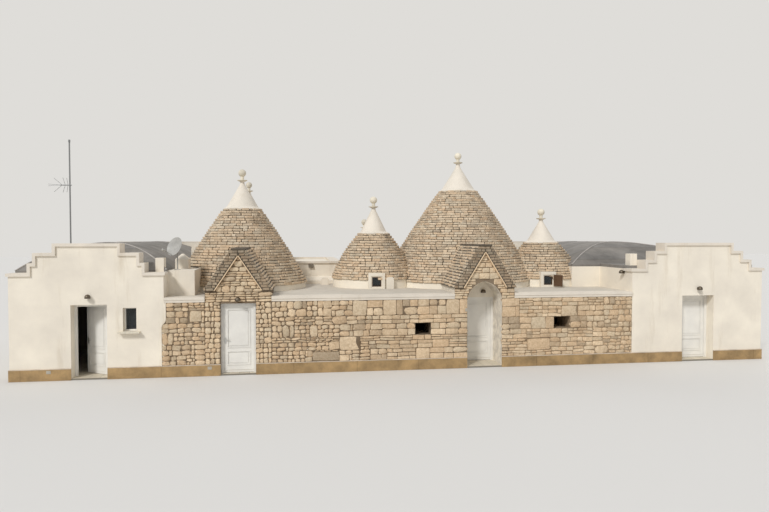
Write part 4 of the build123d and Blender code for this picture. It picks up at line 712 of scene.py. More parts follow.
# Lengths of stones by the rows in their bay, how far a row's joint wanders, and a row's shortest rest
ROW_LENGTHS, ROW_WANDER, SHORT_REST = {1: 1.15, 2: 1.0, 3: 0.85}, 0.13, 0.6
# Least length and height of a stone cut back from a large block, and the most that counts of either
CUT_LONG, CUT_TALL, CUT_COUNTS = 0.05, 0.035, 0.3
# Least length and height of a laid stone and its turn, and its joint and stand-out as shares of the usual
LEAST_LONG, LEAST_TALL, STONE_TURN = 0.03, 0.025, 0.05
JOINT_SHARES, PROUD_SHARES = (0.6, 1.4), (0.35, 1.15)
# What roundness adds to a tilt, the tilt of squared stones and of large blocks, and the right's stand-out
ROUND_TILT, SQUARE_TILT, BLOCK_TILT, RIGHT_PROUD = 0.15, 0.02, 0.01, 0.8


def joints_between(low, high, least, most, rng):
    """Places of joints from low to high, between least and most apart."""
    places = [low]
    while high - places[-1] > most:
        places.append(places[-1] + rng.uniform(least, most))
    if high - places[-1] < least * SHORT_REST and len(places) > 1:
        places.pop()
    return places + [high]


def lifts(low, high, hole, heights, rng):
    """Level joints of a wall; a lift ends at the foot and at the head of the wall's hole, if it has one."""
    if hole is None:
        return joints_between(low, high, *heights, rng)
    foot, head = hole[2], hole[3]
    return (joints_between(low, foot, *heights, rng)[:-1] + [foot]
            + joints_between(head, high, *heights, rng))


def stretches(x0, x1, low, hole):
    """What a wall's hole leaves of a lift."""
    if hole is None or not hole[2] - TOUCH < low < hole[3] - TOUCH:
        return [(x0, x1)]
    return [(x0, hole[0]), (hole[1], x1)]


def fill_lift(a, b, low, high, squared, odds, settings, rng):
    """Splits a lift into stones: tall ones, and bays of two or three rows with joints of their own."""
    edges, place = [], a
    while place < b:
        share = squared(place)
        least, most = (rounded * (1 - share) + square * share
                       for rounded, square in zip(settings.round_length, settings.square_length))
        bay = rng.uniform(most * BAY_LEAST, most * BAY_MOST)
        if b - place - bay < most * BAY_LEAST:
            bay = b - place
        rows = rng.choices((1, 2, 3), (odds[0] * max(TALL_ODDS + share, 0.0), odds[1], odds[2]))[0]
        if rows == 1 and b - place - bay > 0:
            bay = min(bay, most * TALL_MOST)
        levels = [low + (high - low) * (row + rng.uniform(-ROW_WANDER, ROW_WANDER) * (0 < row < rows)) / rows
                  for row in range(rows + 1)]
        scale = ROW_LENGTHS[rows]
        for bottom, top in zip(levels, levels[1:]):
            ends = joints_between(place, place + bay, least * scale, most * scale, rng)
            edges += [(left, right, bottom, top, share) for left, right in zip(ends, ends[1:])]
        place += bay
    return edges


def rest_size(rest):
    """How much is left of a stone between its edges, or 0 where they have passed each other."""
    long, tall = rest[1] - rest[0], rest[3] - rest[2]
    return min(long, CUT_COUNTS) * min(tall, CUT_COUNTS) if long > 0 and tall > 0 else 0


def beside_blocks(edges):
    """A stone's edges cut back from the large blocks, or None where too little of it is left."""
    for x0, x1, z0, z1 in LARGE_BLOCKS:
        left, right, bottom, top = edges
        if right <= x0 or left >= x1 or top <= z0 or bottom >= z1:
            continue
        edges = max(((left, x0, bottom, top), (x1, right, bottom, top),
                     (left, right, bottom, z0), (left, right, z1, top)), key=rest_size)
        if edges[1] - edges[0] < CUT_LONG or edges[3] - edges[2] < CUT_TALL:
            return None
    return edges


def wall_stone(patterns, edges, settings, rng, tilt, face, proud=None):
    """A stone between its edges, set into a wall's face and standing out of it, a little askew."""
    left, right, bottom, top = edges
    gap = settings.joint * rng.uniform(*JOINT_SHARES)
    size = (max(right - left - gap, LEAST_LONG), settings.depth, max(top - bottom - gap, LEAST_TALL))
    out = (proud or settings.proud) * rng.uniform(*PROUD_SHARES)
    place = Vector(((left + right) / 2, face - out + settings.depth / 2, (bottom + top) / 2))
    turn = Matrix.Rotation(rng.uniform(-tilt, tilt), 4, "Y")
    turn = turn @ Matrix.Rotation(rng.uniform(-STONE_TURN, STONE_TURN), 4, "Z")
    return laid(rng.choice(patterns), place, size, turn)


def lay_wall(kinds, x0, x1, z0, z1, hole, squared, settings, rng, proud=None):
    """Stones from end to end of a wall; squared tells at each place how much they are cut square."""
    stones = []
    levels = lifts(z0, z1, hole, settings.course, rng)
    for low, high in zip(levels, levels[1:]):
        for a, b in stretches(x0, x1, low, hole):
            for *edges, share in fill_lift(a, b, low, high, squared, WALL_ROWS, settings, rng):
                edges = beside_blocks(edges)
                if edges is None:
                    continue
                patterns = kinds[1] if rng.random() < share else kinds[0]
                tilt = ROUND_TILT * (1 - share) + SQUARE_TILT
                stones.append(wall_stone(patterns, edges, settings, rng, tilt, FRONT, proud))
    for block in LARGE_BLOCKS:
        if x0 <= block[0] and block[1] <= x1:
            stones.append(wall_stone(kinds[1], block, settings, rng, BLOCK_TILT, FRONT, proud))
    return stones


def wall_patterns():
    """The rounded stones and the squared blocks that the walls' stones are copied from."""
    return ([stone_pattern(seed, rough=0.085, ease=0.15, cuts=1, swell=0.5) for seed in range(8)],
            [stone_pattern(seed, rough=0.035, ease=0.06, cuts=1, swell=0.08) for seed in range(6, 12)])


def wall_piece(stones, name, look="rubble", wander=0.035):
    """Joins a stretch of stones, lets its courses wander and its faces swell, and finishes it."""
    wall = joined(stones)
    roughen(wall, (0.55, wander, "Z"), (0.24, wander * 0.8, "X"), (0.08, 0.028, "Y"))
    smooth(wall, 35)
    settle(wall, name, look)


def squared_middle(x):
    """Share of squared stones between the porches: few on the left, nearly all from the middle on."""
    return min(max((x - SQUARED_FROM) / (SQUARED_BY - SQUARED_FROM), LEAST_SQUARED), MOST_SQUARED)


def squared_right(x):
    """Share of squared stones right of the arch: most of them, and fewer near the end."""
    return RIGHT_SQUARED - max(x - LUMPY_FROM, 0.0) * SQUARED_LOSS


class TRULLO_OT_rubble(bpy.types.Operator):
    """Lays the rubble of the stone front between its plinth and its coping"""
    bl_idname = "trullo.rubble"
    bl_label = "Rubble front"

    def execute(self, context):
        wall = context.scene.trullo.wall
        kinds = wall_patterns()
        rng = Random(11)
        top = KERB_TOP - wall.band
        stones = []
        for x0, z0, z1 in ((PLASTER_EDGE, PLINTH_TOP, wall.edge_height),
                           (PLASTER_EDGE + wall.edge_step, wall.edge_height, top)):
            stones += lay_wall(kinds, x0, LEFT_PORCH[0].x, z0, z1, None, lambda x: ROUNDED, wall, rng)
        wall_piece(stones, "left_rubble")
        stones = lay_wall(kinds, LEFT_PORCH[1].x, NICHE_LEFT, PLINTH_TOP, top, opening_box("wall_hole_left"),
                          squared_middle, wall, rng)
        wall_piece(stones, "middle_rubble")
        stones = lay_wall(kinds, NICHE_RIGHT, STONE_RIGHT, PLINTH_TOP, top, opening_box("wall_hole_right"),
                          squared_right, wall, rng, wall.proud * RIGHT_PROUD)
        wall_piece(stones, "right_rubble")
        drop(kinds[0] + kinds[1])
        return {"FINISHED"}


# Porches

# The verges' face is a little behind the roofs' front
VERGE_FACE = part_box("porch_roofs")[0].y + 0.02
# Fullness of the niche's arch: 2 is a round one, and less is more pointed
ARCH_FULLNESS = 1.55
# Least and most length of stones along the verges, the slopes and the ridges, and height of panel courses
VERGE_LENGTHS, SLOPE_LENGTHS, RIDGE_LENGTHS = (0.11, 0.24), (0.15, 0.34), (0.28, 0.5)
PANEL_COURSES = (0.11, 0.19)
# Verge stones: tilt, stand-out and how unevenly they end; panel stones: tilt, and least length at a verge
VERGE_TILT, VERGE_PROUD, VERGE_UNEVEN, PANEL_TILT, PANEL_LEAST = 0.03, 0.024, 0.02, 0.07, 0.045
# How far the panel ends under its point, and how far over the eave its stones begin to be cut back
PANEL_SHORT, PANEL_CUT = 0.02, 0.02
# What the bead's bars are wider than the bead on either side, and their eased edges
BEAD_LAP, BEAD_EASE = 0.003, 0.005
# Roof slabs: depth, joint, unevenness, turn, reach into the cone, and heights as shares of their course
SLOPE_DEPTH, SLOPE_JOINT, SLOPE_UNEVEN, SLOPE_TURN, INTO_CONE = 0.16, 0.012, 0.022, 0.04, 0.1
SLOPE_HEIGHTS = (0.82, 0.97)
# Ridge slabs: thickness, joint, how far they pass the flat top and stray from its middle, overhang, lift
RIDGE_SLAB, RIDGE_JOINT, RIDGE_PAST, RIDGE_STRAY = 0.05, 0.01, (0.02, 0.06), 0.01
RIDGE_OVERHANG, RIDGE_LIFT = 0.015, 0.006


def read_porch(gable, settings):
    """A porch's middle, half width, eave and top, from its CAD gable, and whether it has the arch."""
    low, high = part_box(gable)
    half = (high.x - low.x) / 2
    return {"x": (low.x + high.x) / 2, "half": half, "eave": settings.eave, "top": high.z + settings.ridge,
            "flat": settings.flat / 2, "foot": half + settings.eave_proud, "arched": gable == "arch_gable"}


def roof_half(porch, z):
    """Half the width of a porch roof at a height."""
    share = (porch["top"] - z) / (porch["top"] - porch["eave"])
    return porch["flat"] + (porch["foot"] - porch["flat"]) * share


def height_of(porch, half):
    """The height at which half the roof's width is as given."""
    share = (half - porch["flat"]) / (porch["foot"] - porch["flat"])
    return porch["top"] - (porch["top"] - porch["eave"]) * share


def arch_half(z):
    """Half the width of the niche's arch at a height, on the curve through its foot and its crown."""
    half, rise = (NICHE_RIGHT - NICHE_LEFT) / 2, ARCH_CROWN - ARCH_SPRING
    if z <= ARCH_SPRING:
        return half
    if z >= ARCH_CROWN:
        return 0.0
    return half * sqrt(1 - ((z - ARCH_SPRING) / rise) ** ARCH_FULLNESS)


def roof_courses(porch, settings):
    """Foot and head of each course of a porch roof, from its eave to its ridge slab."""
    steps = round((porch["top"] - RIDGE_SLAB - porch["eave"]) / settings.course)
    height = (porch["top"] - RIDGE_SLAB - porch["eave"]) / steps
    return [(porch["eave"] + step * height, porch["eave"] + (step + 1) * height) for step in range(steps)]


def lay_verge(porch, patterns, wall, settings, rng):
    """Courses of thin slabs on the two sloping verges, out to the roof's edge and in to the bead."""
    stones = []
    for low, high in roof_courses(porch, settings):
        outer = roof_half(porch, (low + high) / 2)
        inner = max(roof_half(porch, low) - settings.verge + settings.bead, 0.0)
        for side in (-1, 1):
            ends = joints_between(inner, outer + rng.uniform(0.0, VERGE_UNEVEN), *VERGE_LENGTHS, rng)
            for a, b in zip(ends, ends[1:]):
                edges = (*sorted((porch["x"] + side * a, porch["x"] + side * b)), low, high)
                stones.append(wall_stone(patterns, edges, wall, rng, VERGE_TILT, VERGE_FACE, VERGE_PROUD))
    return stones


def lay_bead(porch, settings):
    """The thin plaster bead inside the verges: two bars from the eave, drawn in to meet at the top."""
    inset = settings.verge - settings.bead / 2
    foot, top = roof_half(porch, porch["eave"]) - inset, height_of(porch, inset)
    half = settings.bead / 2 + BEAD_LAP
    bars = []
    for side in (-1, 1):
        x = porch["x"] + side * foot
        face = VERGE_FACE - settings.bead_proud
        piece = bar((x - half, face + TOUCH, porch["eave"]), (x + half, FRONT, top))
        for vertex in piece.data.vertices:
            vertex.select = vertex.co.z > porch["eave"] + TOUCH
        for part in (*piece.data.edges, *piece.data.polygons):
            part.select = False
        bpy.ops.object.mode_set(mode="EDIT")
        bpy.ops.mesh.select_mode(type="VERT")
        bpy.ops.transform.translate(value=(-side * foot, 0, 0))
        bpy.ops.mesh.select_all(action="SELECT")
        bpy.ops.mesh.bevel(offset=BEAD_EASE, segments=1, affect="EDGES")
        bpy.ops.object.mode_set(mode="OBJECT")
        bars.append(piece)
    return bars


def lay_panel(porch, patterns, wall, settings, rng, low_z):
    """Thin courses of stones on a porch's front inside the beads, and below them to a given height."""
    stones = []
    middle = porch["x"]
    levels = joints_between(low_z, height_of(porch, settings.verge) - PANEL_SHORT, *PANEL_COURSES, rng)
    for low, high in zip(levels, levels[1:]):
        half = porch["half"]
        if low > porch["eave"]:
            half = min(half, roof_half(porch, low) - settings.verge)
        hole = arch_half(low) if porch["arched"] and low < ARCH_CROWN else 0.0
        for a, b in ([(-half, -hole), (hole, half)] if hole else [(-half, half)]):
            for left, right, bottom, top, _ in fill_lift(
                    middle + a, middle + b, low, high, lambda x: PARTLY_SQUARED, PANEL_ROWS, wall, rng):
                if top > porch["eave"] + PANEL_CUT:
                    reach = roof_half(porch, (bottom + top) / 2) - settings.verge
                    left, right = max(left, middle - reach), min(right, middle + reach)
                if right - left > PANEL_LEAST:
                    edges = (left, right, bottom, top)
                    stones.append(wall_stone(patterns, edges, wall, rng, PANEL_TILT, FRONT))
    return stones


def lay_slopes(porch, cone, patterns, settings, rng):
    """Courses of slabs up both slopes of a porch's roof, each set back from the one below."""
    slabs = []
    for low, high in roof_courses(porch, settings):
        half = roof_half(porch, (low + high) / 2)
        for side in (-1, 1):
            across = porch["x"] + side * half - cone["x"]
            reach = cone["y"] - sqrt(max(cone_radius(cone, low) ** 2 - across ** 2, 0.0))
            ends = joints_between(VERGE_FACE, reach + INTO_CONE, *SLOPE_LENGTHS, rng)
            for a, b in zip(ends, ends[1:]):
                out = half + rng.uniform(0.0, SLOPE_UNEVEN) - SLOPE_DEPTH / 2
                size = (SLOPE_DEPTH, b - a - SLOPE_JOINT, (high - low) * rng.uniform(*SLOPE_HEIGHTS))
                turn = Matrix.Rotation(rng.uniform(-SLOPE_TURN, SLOPE_TURN), 4, "Z")
                place = Vector((porch["x"] + side * out, (a + b) / 2, (low + high) / 2))
                slabs.append(laid(rng.choice(patterns), place, size, turn))
    return slabs


def lay_ridge(porch, cone, patterns, settings, rng):
    """Flat slabs in a row on a porch's ridge, from its front back into the cone."""
    slabs = []
    reach = cone["y"] - cone_radius(cone, porch["top"])
    ends = joints_between(VERGE_FACE - RIDGE_OVERHANG, reach + INTO_CONE, *RIDGE_LENGTHS, rng)
    for a, b in zip(ends, ends[1:]):
        size = (settings.flat + rng.uniform(*RIDGE_PAST), b - a - RIDGE_JOINT, RIDGE_SLAB)
        place = Vector((porch["x"] + rng.uniform(-RIDGE_STRAY, RIDGE_STRAY), (a + b) / 2,
                        porch["top"] - RIDGE_SLAB / 2 + RIDGE_LIFT))
        slabs.append(laid(rng.choice(patterns), place, size))
    return slabs


class TRULLO_OT_porches(bpy.types.Operator):
    """Lays the stones of the two gabled porches: fronts, verges, beads, roof slopes and ridges"""
    bl_idname = "trullo.porches"
    bl_label = "Porches"

    def execute(self, context):
        wall, settings = context.scene.trullo.wall, context.scene.trullo.porch
        rounds, blocks = wall_patterns()
        slabs = [stone_pattern(seed, rough=0.07, ease=0.09) for seed in range(20, 26)]
        rng = Random(29)
        top = KERB_TOP - wall.band
        for gable, node, name, patterns in (
                ("left_porch_gable", "left_cone", "left_porch", rounds),
                ("arch_gable", "great_cone", "arch_porch", blocks)):
            porch, cone = read_porch(gable, settings), read_cone(node)
            front = lay_panel(porch, patterns, wall, settings, rng, top)
            if not porch["arched"]:
                for a, b in ((LEFT_PORCH[0].x, TRULLO_LEFT), (TRULLO_RIGHT, LEFT_PORCH[1].x)):
                    front += lay_wall((rounds, blocks), a, b, PLINTH_TOP, top, None,
                                      lambda x: SMALL_LUMPS, wall, rng)
            wall_piece(front, name + "_rubble", "porch_rubble", 0.015)
            verge = joined(lay_verge(porch, slabs, wall, settings, rng))
            roughen(verge, (0.1, 0.01, "Y"))
            settle(verge, name + "_verge_slabs", "verge_slabs")
            settle(joined(lay_bead(porch, settings)), name + "_beads", "bead")
            roof = joined(lay_slopes(porch, cone, slabs, settings, rng))
            roughen(roof, (0.1, 0.014, "NORMAL"))
            settle(roof, name + "_roof_slabs", "slabs")
            ridge = joined(lay_ridge(porch, cone, slabs, settings, rng))
            settle(ridge, name + "_ridge_slabs", "ridge_slabs")
        drop(blocks + slabs + rounds)
        return {"FINISHED"}


# Plaster edge, plaster band and plinth ledge

# The band under the coping: how far it stands out and reaches in, its eased edge and its cuts
BAND_PROUD, BAND_IN, BAND_EASE, BAND_CUTS = 0.034, 0.02, 0.008, 12
# The ledge: how far it passes the plinth's face and the front's, how far down and up it goes, its edge
LEDGE_PROUD, LEDGE_IN, LEDGE_DOWN, LEDGE_UP, LEDGE_EASE = 0.006, 0.004, 0.012, 0.01, 0.003
# The lapping plaster's stand-out, and its rim's radius and stand-out
LAP_PROUD, RIM_RADIUS, RIM_PROUD = 0.012, 0.016, 0.018


def strip_along(points, radius):
    """A thin round strip that follows points, as a curve made a mesh."""
    deselect()
    bpy.ops.curve.primitive_nurbs_path_add()
    path = bpy.context.object
    path.data.splines.clear()
    spline = path.data.splines.new("POLY")
    spline.points.add(len(points) - 1)
    for point, place in zip(spline.points, points):
        point.co = (*place, 1.0)
    path.data.bevel_depth = radius
    path.data.bevel_resolution = 1
    pick(path)
    bpy.ops.object.convert(target="MESH")
    return bpy.context.object


def lay_plaster_edge(wall):
    """The left wing's plaster where it meets the stones: a lapping strip and a rounded edge that steps in."""
    step, top = wall.edge_height, KERB_TOP - wall.band
    foot, knee, shoulder, edge = (PLASTER_EDGE + wall.edge_step * share for share in (0, 0.25, 0.8, 1))
    lap = bar((STONE_LEFT - 0.01, FRONT - LAP_PROUD, step + 0.06), (edge, FRONT + TOUCH, top), 0.006)
    line = [(foot, PLINTH_TOP), (foot, step - 0.09), (knee, step - 0.02), (shoulder, step + 0.05),
            (edge, step + 0.12), (edge, top)]
    return joined([lap, strip_along([(x, FRONT - RIM_PROUD, z) for x, z in line], RIM_RADIUS)])


def door_ends():
    """Left and right edge of each doorway in the front, from left to right."""
    return [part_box("left_wing_left_pier")[1].x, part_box("left_wing_right_pier")[0].x,
            TRULLO_LEFT, TRULLO_RIGHT, NICHE_LEFT, NICHE_RIGHT,
            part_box("right_wing_left_pier")[1].x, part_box("right_wing_right_pier")[0].x]


class TRULLO_OT_trim(bpy.types.Operator):
    """Adds the plaster's edge, the smooth band under the coping and the thin ledge on the plinth"""
    bl_idname = "trullo.trim"
    bl_label = "Band and ledge"

    def execute(self, context):
        wall = context.scene.trullo.wall
        band = []
        for x0, x1 in ((STONE_LEFT, LEFT_PORCH[0].x), (LEFT_PORCH[1].x, ARCH_LEFT),
                       (ARCH_RIGHT, STONE_RIGHT)):
            piece = bar((x0, FRONT - BAND_PROUD, KERB_TOP - wall.band), (x1, FRONT + BAND_IN, KERB_TOP),
                        BAND_EASE)
            edit_all(piece)
            bpy.ops.mesh.subdivide(number_cuts=BAND_CUTS)
            bpy.ops.object.mode_set(mode="OBJECT")
            band.append(piece)
        band = joined(band)
        roughen(band, (0.35, 0.02, "Z"))
        settle(band, "kerb_band", "coping")
        settle(lay_plaster_edge(wall), "plaster_edge", "limewash")
        ends = [PLINTH[0].x, *door_ends(), PLINTH[1].x]
        ledges = [bar((x0, PLINTH[0].y - LEDGE_PROUD, PLINTH_TOP - LEDGE_DOWN),
                      (x1, FRONT + LEDGE_IN, PLINTH_TOP + LEDGE_UP), LEDGE_EASE)
                  for x0, x1 in zip(ends[0::2], ends[1::2])]
        # The ledges' pale finish is a painted highlight along the plinth's top edge.
        settle(joined(ledges), "plinth_ledges", "ledge")
        return {"FINISHED"}


# Roof seams

# The vaults' upright eave, how much more their end arches rise, the steps along a hip and its strip's lift
VAULT_EAVE, HIP_EXTRA, HIP_STEPS, HIP_LIFT = 0.06, 0.025, 16, 0.004
# Radius of the strips on the hips and on the crown, and how far a hip's strip goes into the right cone
HIP_STRIP, CROWN_STRIP, HIP_INTO_CONE = 0.022, 0.02, 0.05


def arc_radius(half, rise):
    """The radius of an arc from half its span and its rise."""
    return (half * half + rise * rise) / (2 * rise)


def hip_points(x0, x1, y0, y1, spring, rise, corner):
    """Points up one hip of a vault, where its side arch meets its end arch, which rises a little higher."""
    half = (x1 - x0) / 2
    side_radius = arc_radius(half, rise)
    end_rise = rise + HIP_EXTRA
    end_radius = arc_radius(half, end_rise)
    points = []
    for step in range(HIP_STEPS + 1):
        inset = half * step / HIP_STEPS
        climb = rise - side_radius + sqrt(side_radius ** 2 - (half - inset) ** 2)
        along = half - sqrt(max(end_radius ** 2 - (climb - end_rise + end_radius) ** 2, 0.0))
        x = x0 + inset if corner[0] < 0 else x1 - inset
        y = y0 + along if corner[1] < 0 else y1 - along
        points.append((x, y, spring + climb + HIP_LIFT))
    return points


def vault_front(node):
    """Where a vault's front eave is: at the frontmost corner of its left side."""
    points = node_points(node)
    left = points[:, 0] < points[:, 0].min() + TOUCH
    return points[left][:, 1].min()


class TRULLO_OT_roofs(bpy.types.Operator):
    """Lays the pale seam strips on the hips and the crown of both vaults"""
    bl_idname = "trullo.roofs"
    bl_label = "Vault seams"

    def execute(self, context):
        cone = read_cone("right_cone")
        for node in ("left_wing_roof", "right_wing_roof"):
            low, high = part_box(node)
            x0, x1, y0, y1 = low.x, high.x, vault_front(node), high.y
            spring, rise = low.z + VAULT_EAVE, high.z - low.z - VAULT_EAVE
            seams = []
            for corner in ((-1, -1), (1, -1), (-1, 1), (1, 1)):
                points = [p for p in hip_points(x0, x1, y0, y1, spring, rise, corner)
                          if hypot(p[0] - cone["x"], p[1] - cone["y"])
                          > cone_radius(cone, p[2]) - HIP_INTO_CONE]
                seams.append(strip_along(points, HIP_STRIP))
            middle, half = (x0 + x1) / 2, (x1 - x0) / 2
            seams.append(strip_along([(middle, y0 + half, high.z), (middle, y1 - half, high.z)], CROWN_STRIP))
            settle(joined(seams), node + "_seams", "seam")
        return {"FINISHED"}


# Roof windows and small fittings

# Width, stand-out and eased edges of the roof windows' frames, and the least gap between their panes
FRAME_WIDE, FRAME_PROUD, FRAME_EASE, PANE_GAP = 0.026, 0.028, 0.003, 1.0
# Places of the outlet covers along and up the front, and width, height, stand-out and button of the plates
OUTLETS, OUTLET_PLATE = ((-10.65, 0.245), (-6.234, 0.237)), (0.12, 0.09, 0.012, 0.05)
# Eased edges of a plate and of its button, and the button's stand-out
PLATE_EASE, BUTTON_EASE, BUTTON_PROUD = 0.003, 0.0015, 0.004
# The bell push: how far left of the niche it is, its height and the wall's stand-out there, and its plate
BELL_LEFT, BELL_HIGH, BELL_OUT, BELL_PLATE = 0.045, 1.82, 0.03, (0.06, 0.1, 0.02, 0.025)


def roof_panes():
    """Lowest and highest corner of each roof window's pane, from left to right."""
    points = node_points("window_glass")
    points = points[points[:, 2] > TERRACE_TOP]
    points = points[points[:, 0].argsort()]
    cuts = np.where(np.diff(points[:, 0]) > PANE_GAP)[0] + 1
    return [(pane.min(0), pane.max(0)) for pane in np.split(points, cuts)]


def framed(low, high, wide, proud):
    """A small window frame in front of a pane: four bars that stand on its edge."""
    x0, z0, x1, z1, y = low[0], low[2], high[0], high[2], low[1]
    edges = (((x0, z0), (x0 + wide, z1)), ((x1 - wide, z0), (x1, z1)),
             ((x0 + wide, z0), (x1 - wide, z0 + wide)), ((x0 + wide, z1 - wide), (x1 - wide, z1)))
    return [bar((a[0], y - proud, a[1]), (b[0], y - TOUCH / 2, b[1]), FRAME_EASE) for a, b in edges]


def plate(x, z, face, wide, tall, proud, button):
    """A small cover plate on a wall, eased at its edges, with a raised square in its middle."""
    cover = bar((x - wide / 2, face - proud, z - tall / 2), (x + wide / 2, face + TOUCH, z + tall / 2),
                PLATE_EASE)
    knob = bar((x - button / 2, face - proud - BUTTON_PROUD, z - button / 2),
               (x + button / 2, face - proud + TOUCH, z + button / 2), BUTTON_EASE)
    return [cover, knob]


class TRULLO_OT_fittings(bpy.types.Operator):
    """Adds the roof windows' frames, the outlet covers on the plinth and the bell push by the arch"""
    bl_idname = "trullo.fittings"
    bl_label = "Small fittings"

    def execute(self, context):
        frames = [piece for low, high in roof_panes() for piece in framed(low, high, FRAME_WIDE, FRAME_PROUD)]
        settle(joined(frames), "roof_window_frames", "boards")
        plates = [piece for x, z in OUTLETS for piece in plate(x, z, PLINTH[0].y, *OUTLET_PLATE)]
        settle(joined(plates), "outlet_covers", "socket")
        bell = plate(NICHE_LEFT - BELL_LEFT, BELL_HIGH, FRONT - BELL_OUT, *BELL_PLATE)
        settle(joined(bell), "bell_push", "socket")
        return {"FINISHED"}


# Doors

# Widths of a leaf's stiles and rails, and heights of its middle rail
STILE, TOP_RAIL, BOTTOM_RAIL, MID_RAIL_LOW, MID_RAIL_HIGH = 0.115, 0.12, 0.23, 0.68, 0.8
# What the hinges and the frame's stops take of a leaf's width
HINGE_SIDE, STOP_CLEAR = 0.015, 0.017
# The mouldings: width, and how far they lap over the panel's edge and stand out
MOULDING_WIDE, MOULDING_PROUD = 0.03, 0.014
# The raised fields: inset from the panel, stand-out, the part in the leaf and their eased edges
FIELD_INSET, FIELD_PROUD, FIELD_IN, FIELD_EASE = 0.05, 0.002, 0.012, 0.006
# The weather bar's foot and head over the leaf's foot, and its eased edges
BAR_LOW, BAR_HIGH, BAR_EASE = 0.075, 0.1, 0.005


def ring_on_face(x0, x1, z0, z1, y, width, proud):
    """A raised moulding round a panel: a plane inset once, its middle taken out and its rim pushed out."""
    deselect()
    bpy.ops.mesh.primitive_plane_add(size=1, location=((x0 + x1) / 2, y, (z0 + z1) / 2),
                                     rotation=(pi / 2, 0, 0))
    ring = bpy.context.object
    ring.scale = (x1 - x0, z1 - z0, 1)
    apply_place(ring)
    edit_all(ring)
    bpy.ops.mesh.inset(thickness=width)
    bpy.ops.mesh.delete(type="FACE")
    bpy.ops.mesh.select_all(action="SELECT")
    bpy.ops.mesh.extrude_region_move(TRANSFORM_OT_translate={"value": (0, -proud, 0)})
    bpy.ops.mesh.select_all(action="SELECT")
    bpy.ops.mesh.normals_make_consistent(inside=False)
    bpy.ops.object.mode_set(mode="OBJECT")
    return ring


class TRULLO_OT_joinery(bpy.types.Operator):
    """Adds the mouldings, the raised fields and the weather bar of the four doors"""
    bl_idname = "trullo.joinery"
    bl_label = "Door mouldings"

    def execute(self, context):
        lap = MOULDING_PROUD
        for door in DOORS:
            (x0, y, foot), (x1, _, head) = shut_box(door)
            x1 -= HINGE_SIDE
            a, b = x0 + STILE, x1 - STILE
            pieces = []
            for z0, z1 in ((foot + BOTTOM_RAIL, MID_RAIL_LOW), (MID_RAIL_HIGH, head - TOP_RAIL)):
                pieces.append(ring_on_face(a - lap, b + lap, z0 - lap, z1 + lap, y, MOULDING_WIDE, lap))
                pieces.append(bar((a + FIELD_INSET, y - FIELD_PROUD, z0 + FIELD_INSET),
                                  (b - FIELD_INSET, y + FIELD_IN, z1 - FIELD_INSET), FIELD_EASE))
            pieces.append(bar((x0 + STOP_CLEAR, y - MOULDING_PROUD, foot + BAR_LOW),
                              (x1 - STOP_CLEAR, y + TOUCH, foot + BAR_HIGH), BAR_EASE))
            mouldings = joined(pieces)
            mouldings.data.transform(shut_turn(door))
            settle(mouldings, door + "_mouldings", "paint", door + "_leaf")
        return {"FINISHED"}


# CAD nodes

NODE_LOOKS = {
    "limewash": ("left_wing_left_pier", "left_wing_right_pier", "left_wing_parapet", "left_wing_side_wall",
                 "left_inner_wall", "left_party_wall", "right_wing_left_pier", "right_wing_right_pier",
                 "right_wing_parapet", "right_wing_side_wall", "right_inner_wall", "raised_room", "back_wall",
                 "niche_tympanum", "roof_windows", "chimneys"),
    "drum_wash": ("left_drums", "right_drums"),
    "cap_wash": ("white_caps",),
    "mortar": ("front_wall_left", "front_wall_middle", "left_porch_gable"),
    "flush_mortar": ("front_wall_right",),
    "niche": ("arch_jambs", "arch_gable"),
    "core": (*CONES, "porch_roofs"),
    "dressed": ("finials", "window_sill"),
    "coping": ("parapet_copings", "terrace_coping", "upper_copings"),
    "terrace": ("terrace_left", "terrace_middle", "terrace_right"),
    "membrane": ("left_wing_roof", "right_wing_roof"),
    "tiles": ("floors",),
    "plinth": ("plinth",),
    "paint": ("window_frame", "door_frames", *DOORS),
    "handle": tuple(door + "_handle" for door in DOORS),
    "lamp": ("wall_lamps",),
    "dish": ("satellite_dish",),
    "steel": ("aerial_mast",),
    "glass": ("window_glass",),
    "boards": ("roof_shutter",),
}


class TRULLO_OT_finishes(bpy.types.Operator):
    """Makes every finish and gives the CAD nodes theirs"""
    bl_idname = "trullo.finishes"
    bl_label = "Finishes"

    def execute(self, context):
        FINISHES.update(finishes())
        for look, nodes in NODE_LOOKS.items():
            for node in nodes:
                finish(frame["nodes"][node], look)
        bare = set(frame["nodes"]).difference(*NODE_LOOKS.values())
        if bare:
            raise RuntimeError("these nodes have no finish: " + ", ".join(sorted(bare)))
        return {"FINISHED"}


# Stage

# The two lamps: name, tilt and turn in degrees, strength, and width in degrees as seen from the house
SUNS = (("key", 50, -38, 1.9, 10), ("fill", 62, 150, 0.45, 40))
# The pale floor lies this far under the house
FLOOR_DROP = 0.003


def soft_day():
    """An even pale sky that lights softly; the camera, gloss and glass see a plain pale backdrop."""
    world = bpy.data.worlds.new("Soft day")
    world.use_nodes = True
    tree = world.node_tree
    light = tree.nodes["Background"]
    light.inputs["Color"].default_value = hex_colour("F1F2F4")
    light.inputs["Strength"].default_value = 0.58
    plain = add_node(tree, "ShaderNodeBackground", {"Color": hex_colour(BACKDROP), "Strength": 1.0})
    path = add_node(tree, "ShaderNodeLightPath")
    seen = path["Is Camera Ray"]
    for ray in ("Is Glossy Ray", "Is Transmission Ray"):
        seen = add_node(tree, "ShaderNodeMath", {"operation": "MAXIMUM"}, {0: seen, 1: path[ray]})[0]
    both = add_node(tree, "ShaderNodeMixShader", links={0: seen, 1: light.outputs[0], 2: plain[0]})
    tree.links.new(both[0], tree.nodes["World Output"].inputs["Surface"])
    return world


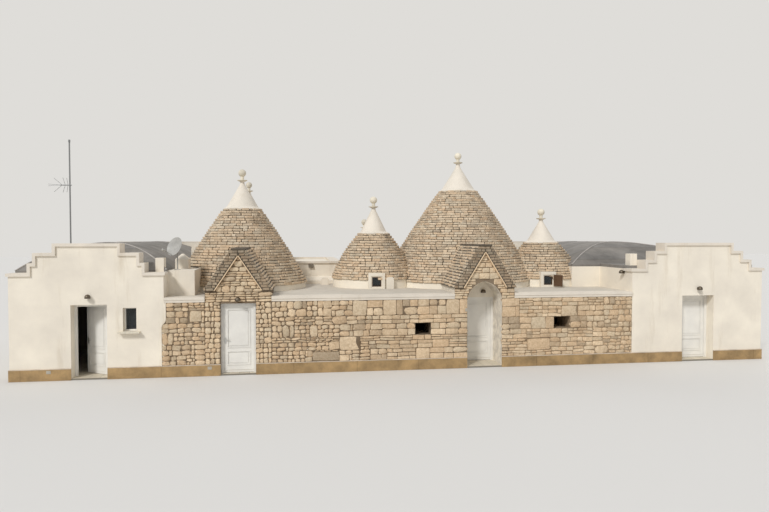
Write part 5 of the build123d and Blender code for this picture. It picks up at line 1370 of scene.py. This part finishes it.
class TRULLO_OT_stage(bpy.types.Operator):
    """Sets up the floor, the light and the camera"""
    bl_idname = "trullo.stage"
    bl_label = "Stage"

    def execute(self, context):
        settings = context.scene.trullo.stage
        deselect()
        bpy.ops.mesh.primitive_plane_add(size=settings.floor, location=(0, 0, -FLOOR_DROP))
        floor = context.object
        floor.name = "floor"
        floor.data.materials.append(new_material("Pale floor", BACKDROP, 0.9)[0])
        context.scene.world = soft_day()
        for name, tilt, turn, strength, angle in SUNS:
            bpy.ops.object.light_add(type="SUN", rotation=(radians(tilt), 0, radians(turn)))
            sun = context.object
            sun.name = name
            sun.data.energy = strength
            sun.data.angle = radians(angle)
        bpy.ops.object.camera_add(location=settings.eye,
                                  rotation=(pi / 2 - settings.pitch, 0, -settings.turn))
        camera = context.object
        camera.data.sensor_width = 36
        camera.data.lens = settings.focal
        camera.data.clip_end = 500
        context.scene.camera = camera
        context.scene.view_settings.view_transform = "Standard"
        return {"FINISHED"}


# Panel and registration

class TRULLO_PT_panel(bpy.types.Panel):
    """Lists the steps that build the house's looks, and their settings"""
    bl_idname = "TRULLO_PT_panel"
    bl_label = "Trullo House"
    bl_space_type = "VIEW_3D"
    bl_region_type = "UI"
    bl_category = "Trullo"

    def draw(self, context):
        for step in STEPS:
            self.layout.operator(step.bl_idname)
        for group in ("cones", "wall", "porch", "colours", "stage"):
            box = self.layout.box()
            settings = getattr(context.scene.trullo, group)
            for name in settings.__annotations__:
                box.prop(settings, name)


GROUPS = (ConeSettings, WallSettings, PorchSettings, ColourSettings, StageSettings, TrulloSettings)
STEPS = (TRULLO_OT_finishes, TRULLO_OT_cones, TRULLO_OT_rubble, TRULLO_OT_porches, TRULLO_OT_trim,
         TRULLO_OT_roofs, TRULLO_OT_fittings, TRULLO_OT_joinery, TRULLO_OT_stage)


def register():
    """Registers the settings, the steps and the panel."""
    for cls in GROUPS + STEPS + (TRULLO_PT_panel,):
        bpy.utils.register_class(cls)
    bpy.types.Scene.trullo = bpy.props.PointerProperty(type=TrulloSettings)


def unregister():
    """Takes the settings, the steps and the panel out again."""
    del bpy.types.Scene.trullo
    for cls in reversed(GROUPS + STEPS + (TRULLO_PT_panel,)):
        bpy.utils.unregister_class(cls)


def main():
    """Runs every step in order."""
    register()
    for step in STEPS:
        group, name = step.bl_idname.split(".")
        getattr(getattr(bpy.ops, group), name)()


if __name__ == "__main__":
    main()
